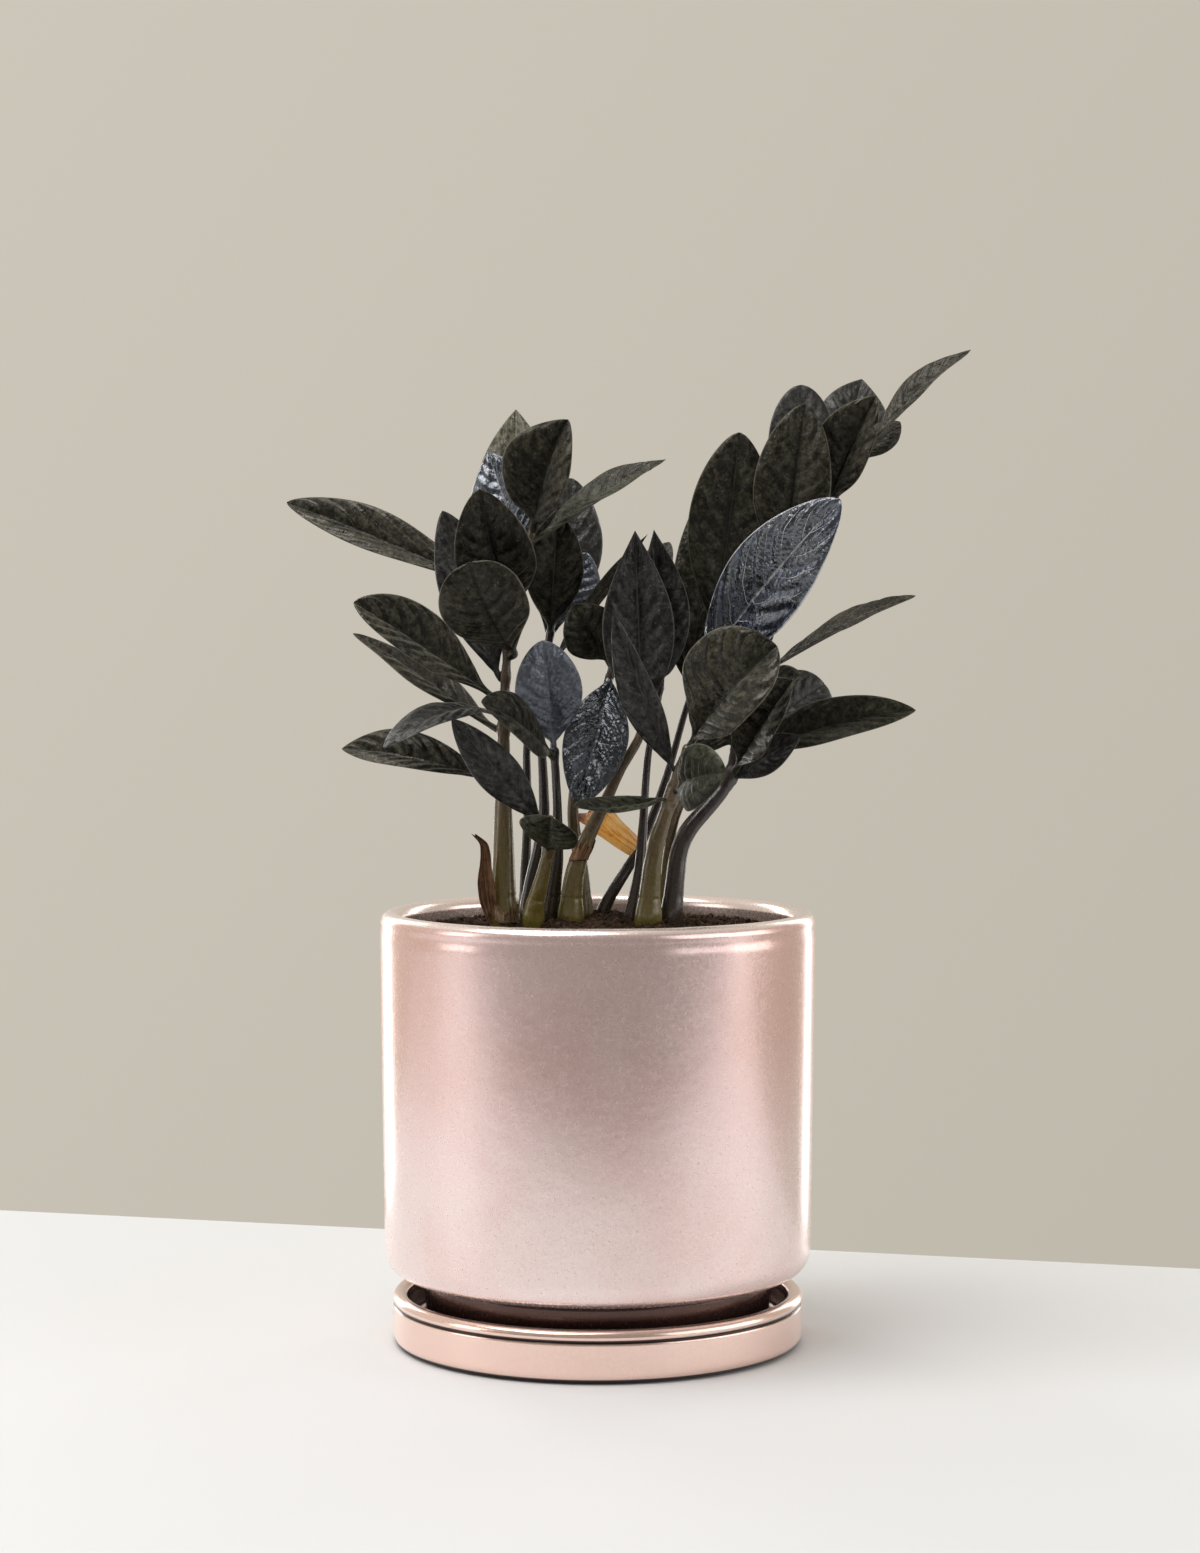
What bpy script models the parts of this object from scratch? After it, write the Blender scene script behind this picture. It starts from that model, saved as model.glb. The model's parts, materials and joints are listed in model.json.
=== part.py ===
"""A young black ZZ plant in a glazed cylinder pot that stands in its own saucer.

Everything is modelled in metres, with +Z up and the origin at the centre of the saucer's base.
The saucer and the pot are turned profiles. The soil fills the pot and is pierced where the stalks
go down to the rhizome. A leaf is a folded blade between the point where it leaves its stalk and
its tip.
"""
import math

import bmesh
import bpy
import numpy as np
from mathutils import Vector

MM = 0.001

# Driving dimensions, in millimetres
POT_RADIUS = 65.0
POT_HEIGHT = 129.0
POT_TAPER = 1.4
WALL = 6.4
BODY_BASE = 21.0
BODY_FILLET = 7.0
FOOT_RADIUS = 51.4
FLOOR_TOP = 12.6
FLOOR_BASE = 7.0
DRAIN_RADIUS = 6.5
SAUCER_RADIUS = 61.3
SAUCER_HEIGHT = 15.6
SAUCER_LIP = 4.6
SAUCER_FLOOR = 5.0
SAUCER_EDGE_ROUND = 3.6
SAUCER_INNER_ROUND = 2.5
FOOT_EDGE = 1.4
FOOT_CHAMFER = 1.0
INNER_ROUND = 5.6
INNER_LOW = 33.0
STEP_CHAMFER = 1.5
WELL_ROUND = 4.0
FOOT_RECESS = 6.4
RECESS_SLOPE = 1.6
SOIL_EDGE = 123.0
SOIL_MOUND = 4.5
MOUND_RADIUS = 43.0
MOUND_RINGS = (43.0, 31.0, 20.0, 10.0, 0.0)
SOIL_CHAMFER = 1.2
GAP = 0.3
SAME_POINT = 0.01
SEGMENTS = 40
TUBE_SIDES = 8
STEM_THINNING = 2.4
STEM_FOOT_SPREAD = 0.9
STEM_ABOVE_RHIZOME = 1.2
SOCKET_ABOVE_SOIL = 12.0
SOCKET_BELOW_STEM = 3.0
LEAF_THICKNESS = 0.9
HUSK_THICKNESS = 0.6
HUSK_COLUMNS = 7
HUSK_TEAR = 0.8
HUSK_TEAR_STEP = 3.1
LONG_STEM = 12

RHIZOME_CENTRE = Vector((-3.0, -2.0, 104.0))
RHIZOME_AXES = Vector((34.0, 17.0, 13.0))
RHIZOME_CLEARANCE = 0.6

# A leaf's half width along its length, as parts of its greatest half width
LEAF_OUTLINE = ((0.0, 0.07), (0.1, 0.13), (0.24, 0.66), (0.4, 0.94),
                (0.55, 1.0), (0.72, 0.87), (0.9, 0.44), (1.0, 0.03))
HUSK_OUTLINE = ((0.0, 0.35), (0.25, 0.7), (0.55, 1.0), (0.8, 0.85), (1.0, 0.35))

# Stalks: name, finish, radius at the soil, radius at the top, and the points the stalk passes through
STEMS = {
    "stem_left": ("stem_green", 4.1, 1.1,
                  ((-28, -5, 128), (-28, -5, 144), (-28, -5, 156), (-28, -4, 180), (-27, -3, 205),
                   (-23, -3, 224), (-19, -2, 243), (-18, -1, 249))),
    "stem_back": ("stem_dark", 2.5, 1.1,
                  ((-21, 10, 129), (-18, 10, 145), (-16, 9, 158), (-17, 9, 179), (-17, 10, 195),
                   (-14, 10, 213))),
    "stem_inner": ("stem_dark", 2.6, 1.2,
                   ((-14, -2, 128), (-12, -4, 144), (-12, -6, 162), (-13, -9, 178))),
    "stem_front": ("stem_green", 2.9, 1.5,
                   ((-19, -12, 128), (-17, -14, 137), (-14, -16, 150), (-14, -17, 158))),
    "stem_centre": ("stem_green", 2.5, 1.2,
                    ((-4, 1, 128), (-5, 1, 142), (-7, 0, 153), (-7, 0, 165), (-2, 2, 183),
                     (4, 3, 200), (6, 5, 211))),
    "stem_leaning": ("stem_green", 3.6, 1.3,
                     ((-8, -7, 128), (-7, -8, 140), (-4, -8, 149), (2, -7, 161), (7, -6, 172),
                      (12, -5, 180), (16, -3, 192))),
    "stem_slim": ("stem_dark", 1.8, 1.0,
                  ((1, 5, 127), (5, 6, 135), (9, 8, 141), (13, 9, 148), (16, 10, 155), (21, 10, 169),
                   (26, 10, 187), (30, 8, 199), (34, 8, 210))),
    "stem_purple": ("stem_dark", 2.0, 1.0,
                    ((10, -4, 128), (12, -3, 138), (13, -2, 147), (14, 0, 162), (15, 2, 175),
                     (17, 4, 186), (19, 6, 196))),
    "stem_thick": ("stem_green", 3.6, 1.8,
                   ((15, -10, 128), (16, -11, 142), (18, -12, 152), (22, -13, 164), (25, -14, 173),
                    (27, -15, 178))),
    "stem_olive": ("stem_green", 2.4, 1.3,
                   ((20, 4, 128), (21, 4, 144), (23, 2, 156), (26, 0, 164))),
    "stem_right": ("stem_dark", 3.1, 1.1,
                   ((22, -3, 128), (23, -3, 138), (24, -2, 146), (26, -1, 152), (31, 0, 158),
                    (36, 1, 163), (40, 2, 169), (42, 2, 178), (43, 2, 187), (45, 1, 195), (48, 0, 202),
                    (53, 0, 216), (59, 1, 230), (64, 2, 241), (70, 3, 251), (76, 4, 261), (81, 4, 268))),
}

# Leaves: node, stalk, height where it leaves the stalk, tip, width, the way its upper face looks,
# how far each half folds up from the midrib in degrees, and how far the midrib arches
LEAVES = (
    ("leaf_left_top_far", "stem_left", 222, (-95, 24, 252), 22, (0.0, -0.7, 0.7), 26, 0),
    ("leaf_left_upright", "stem_left", 198, (-46, -2, 248), 20, (0.25, -1.0, 0.1), 15, 1),
    ("leaf_left_facing", "stem_left", 218, (-34, -30, 253), 25, (0.05, -1.0, 0.25), 15, 3),
    ("leaf_left_round", "stem_left", 205, (-32, -36, 232), 26, (0.0, -0.9, -0.3), 8, 4),
    ("leaf_left_middle", "stem_left", 192, (-71, -16, 221), 23, (0.2, -0.7, 0.7), 20, 0),
    ("leaf_left_middle_back", "stem_left", 183, (-74, 16, 212), 20, (0.3, -0.3, 0.9), 12, 0),
    ("leaf_left_arching", "stem_left", 188, (-62, -26, 178), 17, (0.0, -0.25, 1.0), 8, 5),
    ("leaf_left_low", "stem_left", 168, (-77, 8, 177), 20, (0.0, -0.55, 0.8), 22, 2),
    ("leaf_crown_back", "stem_left", 228, (-25, 30, 280), 24, (0.0, -1.0, 0.3), 10, 0),
    ("leaf_crown_bright", "stem_left", 234, (-33, 9, 266), 22, (0.0, -1.0, 0.2), 10, 0),
    ("leaf_crown_front", "stem_left", 243, (-9, -14, 274), 28, (-0.1, -1.0, 0.35), 25, 3),
    ("leaf_crown_right", "stem_left", 240, (20, 0, 264), 20, (-0.2, -0.35, 0.9), 20, 0),
    ("leaf_front_dark", "stem_front", 156, (-42, -32, 187), 13, (-0.3, -1.0, 0.2), 10, 1),
    ("leaf_front_small", "stem_front", 156.5, (-13, -44, 149), 19, (0.0, -0.45, 0.9), 6, -1),
    ("leaf_inner_left", "stem_inner", 176, (-33, -40, 192), 20, (0.1, -0.8, 0.6), 10, 2),
    ("leaf_inner_round", "stem_inner", 179, (-16, -19, 209), 20, (0.0, -1.0, 0.3), 8, 1),
    ("leaf_back_high", "stem_back", 208, (-8, 30, 259), 24, (0.3, -0.9, 0.2), 10, 1),
    ("leaf_back_blue", "stem_back", 214, (-3, 14, 236), 18, (0.0, -1.0, 0.2), 10, 0),
    ("leaf_back_narrow", "stem_back", 202, (15, -4, 241), 9, (-0.5, -0.6, 0.7), 20, 0),
    ("leaf_centre_brown", "stem_centre", 203, (-7, -3, 220), 18, (0.1, -1.0, 0.1), 12, 1),
    ("leaf_centre_hanging", "stem_centre", 199, (-5.5, -15, 161), 18.5, (0.1, -1.0, 0.25), 10, 1.5),
    ("leaf_centre_back", "stem_centre", 212, (22, 34, 240), 15, (-0.3, -0.8, 0.5), 12, 1),
    ("leaf_leaning_tall", "stem_leaning", 188, (11, -6, 242), 20, (-0.05, -1.0, 0.1), 28, 0),
    ("leaf_purple_tall", "stem_purple", 197, (17, 12, 243), 19, (0.4, -0.9, 0.1), 28, 0),
    ("leaf_thick_tall", "stem_thick", 171, (4, -30, 218), 14, (-0.5, -0.8, 0.1), 25, 0),
    ("leaf_thick_broad", "stem_thick", 179, (51, -36, 208), 38, (-0.4, -0.9, 0.35), 22, 4),
    ("leaf_thick_curled", "stem_thick", 166, (37, -42, 172), 20, (-0.9, -0.45, 0.1), 12, 3),
    ("leaf_thick_narrow", "stem_thick", 163, (-7, -38, 162), 12, (0.0, -0.15, 1.0), 15, -2),
    ("leaf_slim_front", "stem_slim", 211, (42, -4, 271), 25, (0.0, -1.0, 0.2), 12, 3),
    ("leaf_slim_back", "stem_slim", 195, (36, 24, 260), 18, (-0.2, -1.0, 0.1), 12, 0),
    ("leaf_slim_glossy", "stem_slim", 200, (70, -30, 250), 31, (-0.1, -0.95, 0.3), 8, 4),
    ("leaf_right_tall", "stem_right", 226, (61, -8, 279), 24, (-0.05, -1.0, 0.2), 15, 3),
    ("leaf_right_tall_back", "stem_right", 237, (61, 10, 286), 18, (0.1, -1.0, 0.1), 10, 1),
    ("leaf_right_high_back", "stem_right", 257, (81, 30, 290), 22, (0.0, -1.0, 0.2), 15, 0),
    ("leaf_right_high", "stem_right", 250, (82, -12, 281), 22, (-0.2, -0.95, 0.25), 25, 2),
    ("leaf_right_end", "stem_right", 269, (110, 2, 297), 17, (-0.6, -0.35, 0.7), 22, 0),
    ("leaf_right_narrow", "stem_right", 201, (94, -6, 223), 19, (-0.35, -0.2, 0.9), 15, 1),
    ("leaf_right_long", "stem_right", 176, (95, 2, 189), 19, (0.0, -0.65, 0.75), 20, 3),
    ("leaf_right_square", "stem_right", 179, (69, 20, 196), 20, (0.1, -0.9, 0.4), 10, 1),
    ("leaf_right_pale", "stem_right", 171, (56, -28, 198), 26, (-0.1, -0.9, 0.3), 28, 1),
    ("leaf_right_edge_on", "stem_right", 162, (58, -10, 175), 10, (-0.2, 0.1, 1.0), 12, 0),
    ("leaf_right_short", "stem_right", 187, (59, -16, 200), 17, (0.0, -0.7, 0.7), 12, 1),
)

# Dried husks, which are old leaf sheaths: node, foot, tip, width, the way the hollow face looks,
# fold and arch
HUSKS = (
    ("husk_left", (-34.6, -7, 129.0), (-36, -9, 152), 6, (0.5, -1.0, 0.0), 25, 0),
    ("husk_centre", (-3.2, 2.6, 158), (11, 3.5, 147), 9, (-0.1, -1.0, 0.3), 18, -1.5),
)

# Ring husks round the foot of a stalk: node, stalk, low and high ends, first angle and sweep in degrees
RING_HUSKS = (
    ("husk_ring", "stem_left", 128.5, 134, 210, 180),
)

# Colours are linear red, green and blue, then roughness and metallic
FINISHES = {
    "pot_glaze": ((0.62, 0.42, 0.38), 0.32, 0.6),
    "saucer_glaze": ((0.80, 0.52, 0.44), 0.25, 0.6),
    "soil": ((0.045, 0.022, 0.012), 0.95, 0.0),
    "rhizome": ((0.30, 0.20, 0.11), 0.8, 0.0),
    "stem_green": ((0.12, 0.12, 0.06), 0.45, 0.0),
    "stem_dark": ((0.03, 0.022, 0.03), 0.4, 0.0),
    "leaf_black": ((0.022, 0.023, 0.02), 0.4, 0.0),
    "dried_husk": ((0.32, 0.16, 0.06), 0.8, 0.0),
}


def finish(name):
    """The material of a finish, made the first time it is asked for."""
    if name in bpy.data.materials:
        return bpy.data.materials[name]
    colour, roughness, metallic = FINISHES[name]
    material = bpy.data.materials.new(name)
    material.use_nodes = True
    shader = material.node_tree.nodes["Principled BSDF"]
    shader.inputs["Base Color"].default_value = (*colour, 1.0)
    shader.inputs["Roughness"].default_value = roughness
    shader.inputs["Metallic"].default_value = metallic
    return material


def add_object(name, bm, finish_name, smooth=40.0):
    """Turn a bmesh in millimetres into a named object in metres, with its faces pointing out."""
    bmesh.ops.recalc_face_normals(bm, faces=bm.faces)
    bmesh.ops.scale(bm, vec=(MM, MM, MM), verts=bm.verts)
    mesh = bpy.data.meshes.new(name)
    bm.to_mesh(mesh)
    bm.free()
    mesh.shade_smooth()
    mesh.set_sharp_from_angle(angle=math.radians(smooth))
    mesh.materials.append(finish(finish_name))
    piece = bpy.data.objects.new(name, mesh)
    bpy.context.collection.objects.link(piece)
    return piece


def arc(centre_r, centre_z, radius, start, end, steps):
    """Points of a round stretch of a profile, from one angle to another in degrees."""
    angles = np.radians(np.linspace(start, end, steps + 1))
    return [(centre_r + radius * math.cos(a), centre_z + radius * math.sin(a)) for a in angles]


def turned(name, profile, finish_name, closed=False):
    """A profile of (radius, height) points spun once round the Z axis."""
    bm = bmesh.new()
    points = [bm.verts.new((r, 0.0, z)) for r, z in profile]
    ends = points[1:] + points[:1] if closed else points[1:]
    edges = [bm.edges.new(pair) for pair in zip(points, ends)]
    bmesh.ops.spin(bm, geom=points + edges, cent=(0, 0, 0), axis=(0, 0, 1), dvec=(0, 0, 0),
                   angle=2 * math.pi, steps=SEGMENTS)
    bmesh.ops.remove_doubles(bm, verts=bm.verts, dist=0.001)
    return add_object(name, bm, finish_name)


def drop_repeats(profile):
    """A profile without any point that lies on the one before it."""
    kept = [profile[0]]
    for point in profile[1:]:
        if math.dist(point, kept[-1]) > SAME_POINT:
            kept.append(point)
    return kept


def make_saucer():
    """A shallow dish: flat base, rounded outer wall and a lip as round as it is thick."""
    lip = SAUCER_LIP / 2
    base_radius = SAUCER_RADIUS - SAUCER_EDGE_ROUND
    profile = [(0.0, 0.0)]
    profile += arc(base_radius, SAUCER_EDGE_ROUND, SAUCER_EDGE_ROUND, -90, 0, 4)
    profile += arc(SAUCER_RADIUS - lip, SAUCER_HEIGHT - lip, lip, 0, 180, 5)
    inner = SAUCER_RADIUS - SAUCER_LIP - SAUCER_INNER_ROUND
    profile += arc(inner, SAUCER_FLOOR + SAUCER_INNER_ROUND, SAUCER_INNER_ROUND, 0, -90, 2)
    profile += [(0.0, SAUCER_FLOOR)]
    return turned("saucer", profile, "saucer_glaze")


def make_pot():
    """A cylinder with a round lip and a stepped foot, hollow, with a drain hole in its floor."""
    lip = WALL / 2
    body = POT_RADIUS - POT_TAPER
    inner = body - WALL - INNER_ROUND
    step = FOOT_RADIUS - WALL
    foot_base = SAUCER_FLOOR + GAP
    profile = [(FOOT_RADIUS - FOOT_EDGE, foot_base)]
    profile += [(FOOT_RADIUS, foot_base + FOOT_CHAMFER)]
    profile += [(FOOT_RADIUS, BODY_BASE)]
    profile += arc(body - BODY_FILLET, BODY_BASE + BODY_FILLET, BODY_FILLET, -90, 0, 4)
    profile += arc(POT_RADIUS - lip, POT_HEIGHT - lip, lip, 0, 180, 6)
    profile += arc(inner, INNER_LOW, INNER_ROUND, 0, -90, 3)
    profile += [(step + STEP_CHAMFER, BODY_BASE + WALL)]
    profile += [(step, BODY_BASE + WALL - STEP_CHAMFER)]
    profile += arc(step - WELL_ROUND, FLOOR_TOP + WELL_ROUND, WELL_ROUND, 0, -90, 2)
    profile += [(DRAIN_RADIUS, FLOOR_TOP)]
    profile += [(DRAIN_RADIUS, FLOOR_BASE)]
    profile += [(FOOT_RADIUS - FOOT_RECESS - RECESS_SLOPE, FLOOR_BASE)]
    profile += [(FOOT_RADIUS - FOOT_RECESS, foot_base)]
    return turned("pot", drop_repeats(profile), "pot_glaze", closed=True)


def smooth_path(points, steps):
    """A Catmull-Rom curve through the points, with the given number of steps between each pair."""
    points = [Vector(p) for p in points]
    padded = [2 * points[0] - points[1], *points, 2 * points[-1] - points[-2]]
    path = []
    for before, start, end, after in zip(padded, padded[1:], padded[2:], padded[3:]):
        for step in range(steps):
            t = step / steps
            path.append(0.5 * (2 * start + (end - before) * t
                               + (2 * before - 5 * start + 4 * end - after) * t ** 2
                               + (3 * start - before - 3 * end + after) * t ** 3))
    path.append(points[-1])
    return path


def rhizome_top(x, y):
    """Height of the rhizome's upper side above a point."""
    across_x = (x - RHIZOME_CENTRE.x) / RHIZOME_AXES.x
    across_y = (y - RHIZOME_CENTRE.y) / RHIZOME_AXES.y
    inside = max(0.0, 1.0 - across_x ** 2 - across_y ** 2)
    return RHIZOME_CENTRE.z + RHIZOME_AXES.z * math.sqrt(inside)


def stem_path(name):
    """The stalk's middle line, from just above the rhizome to its top."""
    points = STEMS[name][3]
    x = STEM_FOOT_SPREAD * points[0][0]
    y = STEM_FOOT_SPREAD * points[0][1]
    foot = (x, y, rhizome_top(x, y) + STEM_ABOVE_RHIZOME)
    steps = 1 if len(points) > LONG_STEM else 2
    return smooth_path((foot, *points), steps)


def stem_radius(name, height):
    """A stalk thins towards its top, faster near the soil than higher up."""
    _, low_radius, high_radius, points = STEMS[name]
    rise = (height - points[0][2]) / (points[-1][2] - points[0][2])
    rise = min(max(rise, 0.0), 1.0)
    return high_radius + (low_radius - high_radius) * (1.0 - rise) ** STEM_THINNING


def tube(name, path, radii, finish_name):
    """A round tube with flat ends, carried along a path without twisting."""
    bm = bmesh.new()
    rings = []
    befores = [path[0]] + path[:-1]
    afters = path[1:] + [path[-1]]
    for point, before, after, radius in zip(path, befores, afters, radii):
        tangent = (after - before).normalized()
        first = tangent.cross(Vector((0, 1, 0))).normalized()
        second = tangent.cross(first)
        ring = []
        for k in range(TUBE_SIDES):
            angle = 2 * math.pi * k / TUBE_SIDES
            spoke = first * math.cos(angle) + second * math.sin(angle)
            ring.append(bm.verts.new(point + radius * spoke))
        rings.append(ring)
    for low, high in zip(rings, rings[1:]):
        for k in range(TUBE_SIDES):
            bm.faces.new((low[k], low[k - 1], high[k - 1], high[k]))
    bm.faces.new(rings[0])
    bm.faces.new(rings[-1])
    return add_object(name, bm, finish_name)


def make_stem(name):
    """One stalk, tapering from the soil to its top."""
    path = stem_path(name)
    radii = [stem_radius(name, point.z) for point in path]
    return tube(name, path, radii, STEMS[name][0])


def stem_at(name, height):
    """The stalk's centre, direction and radius at a height."""
    path = stem_path(name)
    for low, high in zip(path, path[1:]):
        if low.z <= height <= high.z:
            centre = low.lerp(high, (height - low.z) / (high.z - low.z))
            return centre, (high - low).normalized(), stem_radius(name, height)
    return path[-1], (path[-1] - path[-2]).normalized(), stem_radius(name, path[-1].z)


def thicken(piece, thickness):
    """Give an open sheet its thickness, half to each side."""
    solidify = piece.modifiers.new("thickness", "SOLIDIFY")
    solidify.thickness = thickness * MM
    solidify.offset = 0.0
    return piece


def blade(name, root, tip, shape, outline, finish_name):
    """A blade from root to tip. Its shape is width, the way it looks, fold and arch of the midrib."""
    width, facing, fold, arch = shape
    chord = tip - root
    along = chord.normalized()
    facing = Vector(facing)
    up = (facing - along * facing.dot(along)).normalized()
    side = along.cross(up)
    rise = math.sin(math.radians(fold))
    spread = math.cos(math.radians(fold))
    bm = bmesh.new()
    rows = []
    for t, part in outline:
        centre = root + chord * t + up * (4.0 * arch * t * (1.0 - t))
        half = width / 2 * part
        left = centre - side * (half * spread) + up * (half * rise)
        right = centre + side * (half * spread) + up * (half * rise)
        rows.append([bm.verts.new(point) for point in (left, centre, right)])
    for low, high in zip(rows, rows[1:]):
        for k in range(2):
            bm.faces.new((low[k], low[k + 1], high[k + 1], high[k]))
    return add_object(name, bm, finish_name)


def make_leaf(name, stem, height, tip, *shape):
    """A leaf that starts just clear of its stalk's skin, or of its end if it leaves above the top."""
    centre, direction, radius = stem_at(stem, height)
    tip = Vector(tip)
    clearance = GAP + LEAF_THICKNESS / 2
    outward = tip - centre
    outward -= direction * outward.dot(direction)
    root = centre + outward.normalized() * (radius + clearance)
    if height > STEMS[stem][3][-1][2]:
        root = centre + direction * clearance
    return thicken(blade(name, root, tip, shape, LEAF_OUTLINE, "leaf_black"), LEAF_THICKNESS)


def make_husk(name, foot, tip, *shape):
    """A dried sheath that stands by itself."""
    sheath = blade(name, Vector(foot), Vector(tip), shape, HUSK_OUTLINE, "dried_husk")
    return thicken(sheath, HUSK_THICKNESS)


def make_ring_husk(name, stem, low, high, start, sweep):
    """A torn collar of dried sheath, open on one side, standing off the stalk by the gap."""
    bm = bmesh.new()
    rows = []
    for height in (low, (low + high) / 2, high):
        centre, _, radius = stem_at(stem, height)
        radius += GAP + HUSK_THICKNESS
        row = []
        for k in range(HUSK_COLUMNS):
            angle = math.radians(start + sweep * k / (HUSK_COLUMNS - 1))
            tear = HUSK_TEAR * math.sin(HUSK_TEAR_STEP * k) if height == high else 0.0
            x = centre.x + radius * math.cos(angle)
            y = centre.y + radius * math.sin(angle)
            row.append(bm.verts.new((x, y, height + tear)))
        rows.append(row)
    for below, above in zip(rows, rows[1:]):
        for k in range(HUSK_COLUMNS - 1):
            bm.faces.new((below[k], below[k + 1], above[k + 1], above[k]))
    return thicken(add_object(name, bm, "dried_husk"), HUSK_THICKNESS)


def ellipsoid(name, grow, finish_name):
    """The rhizome's shape, grown by a given clearance."""
    bm = bmesh.new()
    bmesh.ops.create_icosphere(bm, subdivisions=2, radius=1.0)
    bmesh.ops.scale(bm, vec=RHIZOME_AXES + Vector((grow, grow, grow)), verts=bm.verts)
    bmesh.ops.translate(bm, vec=RHIZOME_CENTRE, verts=bm.verts)
    return add_object(name, bm, finish_name)


def cut_from(piece, cutter):
    """Cut one shape out of another with a Boolean, and hide the cutter."""
    cut = piece.modifiers.new(cutter.name, "BOOLEAN")
    cut.operation = "DIFFERENCE"
    cut.solver = "EXACT"
    cut.object = cutter
    cutter.hide_render = True
    cutter.display_type = "WIRE"


def soil_height(radius):
    """The soil is level near the wall and mounds up gently towards the plant."""
    if radius >= MOUND_RADIUS:
        return SOIL_EDGE
    return SOIL_EDGE + SOIL_MOUND * 0.5 * (1.0 + math.cos(math.pi * radius / MOUND_RADIUS))


def make_soil():
    """Soil that follows the pot's inside, with a socket for each stalk and a hollow for the rhizome."""
    inner_top = POT_RADIUS - WALL - GAP
    inner_low = POT_RADIUS - POT_TAPER - WALL - GAP
    step = FOOT_RADIUS - WALL - GAP
    floor = FLOOR_TOP + GAP
    top = POT_HEIGHT - WALL / 2
    edge = inner_low + (inner_top - inner_low) * (SOIL_EDGE - INNER_LOW) / (top - INNER_LOW)
    profile = [(0.0, floor)]
    profile += arc(step - WELL_ROUND, floor + WELL_ROUND, WELL_ROUND, -90, 0, 2)
    profile += [(step, BODY_BASE + WALL - SOIL_CHAMFER)]
    profile += [(step + SOIL_CHAMFER, BODY_BASE + WALL + GAP)]
    profile += arc(inner_low - INNER_ROUND, INNER_LOW + GAP, INNER_ROUND, -90, 0, 3)
    profile += [(edge, SOIL_EDGE)]
    profile += [(radius, soil_height(radius)) for radius in MOUND_RINGS]
    soil = turned("soil", drop_repeats(profile), "soil")
    cut_from(soil, ellipsoid("rhizome_hollow", RHIZOME_CLEARANCE, "soil"))
    for name, (_, low_radius, _, points) in STEMS.items():
        path = [point for point in stem_path(name) if point.z < points[0][2] + SOCKET_ABOVE_SOIL]
        path.insert(0, path[0] + (path[0] - path[1]).normalized() * SOCKET_BELOW_STEM)
        cut_from(soil, tube(name + "_socket", path, [low_radius + GAP] * len(path), "soil"))
    return soil


def main():
    for piece in list(bpy.data.objects):
        bpy.data.objects.remove(piece, do_unlink=True)
    make_saucer()
    make_pot()
    make_soil()
    ellipsoid("rhizome", 0.0, "rhizome")
    for name in STEMS:
        make_stem(name)
    for leaf in LEAVES:
        make_leaf(*leaf)
    for husk in HUSKS:
        make_husk(*husk)
    for husk in RING_HUSKS:
        make_ring_husk(*husk)


main()
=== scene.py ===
# %% [markdown]
# # A black ZZ plant in a rose-glazed pot
#
# The real object is a young ZZ plant with near-black, waxy leaflets. It grows in dark peat in a
# cylinder pot with a pearly rose glaze, and the pot stands in a saucer of the same ware.
# The CAD model already holds every piece at its right size and place. This lesson loads it as a
# fixed frame and then builds the fine surfaces over it: turned walls, folded leaves with pressed
# veins, speckled stalks and crumbly soil.

# %% Load the fixed frame
import json
import math

import bmesh
import bpy
import numpy as np
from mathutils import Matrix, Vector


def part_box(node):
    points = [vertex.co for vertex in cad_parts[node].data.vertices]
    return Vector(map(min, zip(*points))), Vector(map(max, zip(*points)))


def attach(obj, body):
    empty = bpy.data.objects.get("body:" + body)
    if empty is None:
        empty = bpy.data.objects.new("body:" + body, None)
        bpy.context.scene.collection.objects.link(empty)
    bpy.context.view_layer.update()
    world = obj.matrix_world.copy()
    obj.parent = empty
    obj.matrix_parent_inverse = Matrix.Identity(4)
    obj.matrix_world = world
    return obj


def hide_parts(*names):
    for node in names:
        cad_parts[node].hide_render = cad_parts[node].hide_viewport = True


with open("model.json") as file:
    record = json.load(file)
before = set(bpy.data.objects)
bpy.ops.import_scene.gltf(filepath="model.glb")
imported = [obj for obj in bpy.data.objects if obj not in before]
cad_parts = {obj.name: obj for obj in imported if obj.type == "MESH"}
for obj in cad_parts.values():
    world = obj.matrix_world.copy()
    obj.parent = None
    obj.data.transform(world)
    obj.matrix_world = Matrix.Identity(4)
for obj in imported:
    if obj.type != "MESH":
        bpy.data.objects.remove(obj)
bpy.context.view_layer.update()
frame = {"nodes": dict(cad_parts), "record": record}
nodes = frame["nodes"]
MM = 0.001

# %% [markdown]
# ## The studio
#
# The object is seen straight from the front, from a little above its middle and through a long
# lens. The camera stands in front of the pot at -Y and tips down by a few degrees.
# A target constraint would do it too, but plain numbers are easier to read and to change.

# %% Camera
camera_data = bpy.data.cameras.new("camera")
camera_data.lens = 72.8
camera_data.sensor_width = 36.0
camera = bpy.data.objects.new("camera", camera_data)
camera.location = (0.0007, -0.936, 0.209)
camera.rotation_euler = (math.radians(87.55), 0.0, 0.0)
bpy.context.scene.collection.objects.link(camera)
bpy.context.scene.camera = camera
bpy.context.scene.view_settings.view_transform = "Standard"
print("camera at", tuple(camera.location), "lens", camera_data.lens, "mm")

# %% [markdown]
# The room is a warm grey backdrop. A sky that only changes softly with direction gives the
# backdrop and the fill light at once. A wall mesh would also work, but it would stand in the way
# of a view from behind. A studio is darker on the camera's side, and waxy leaves and a metallic
# glaze show that in what they mirror. So the light that reaches the objects from -Y is dimmed,
# while the backdrop that the camera itself sees stays the same all round.

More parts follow.
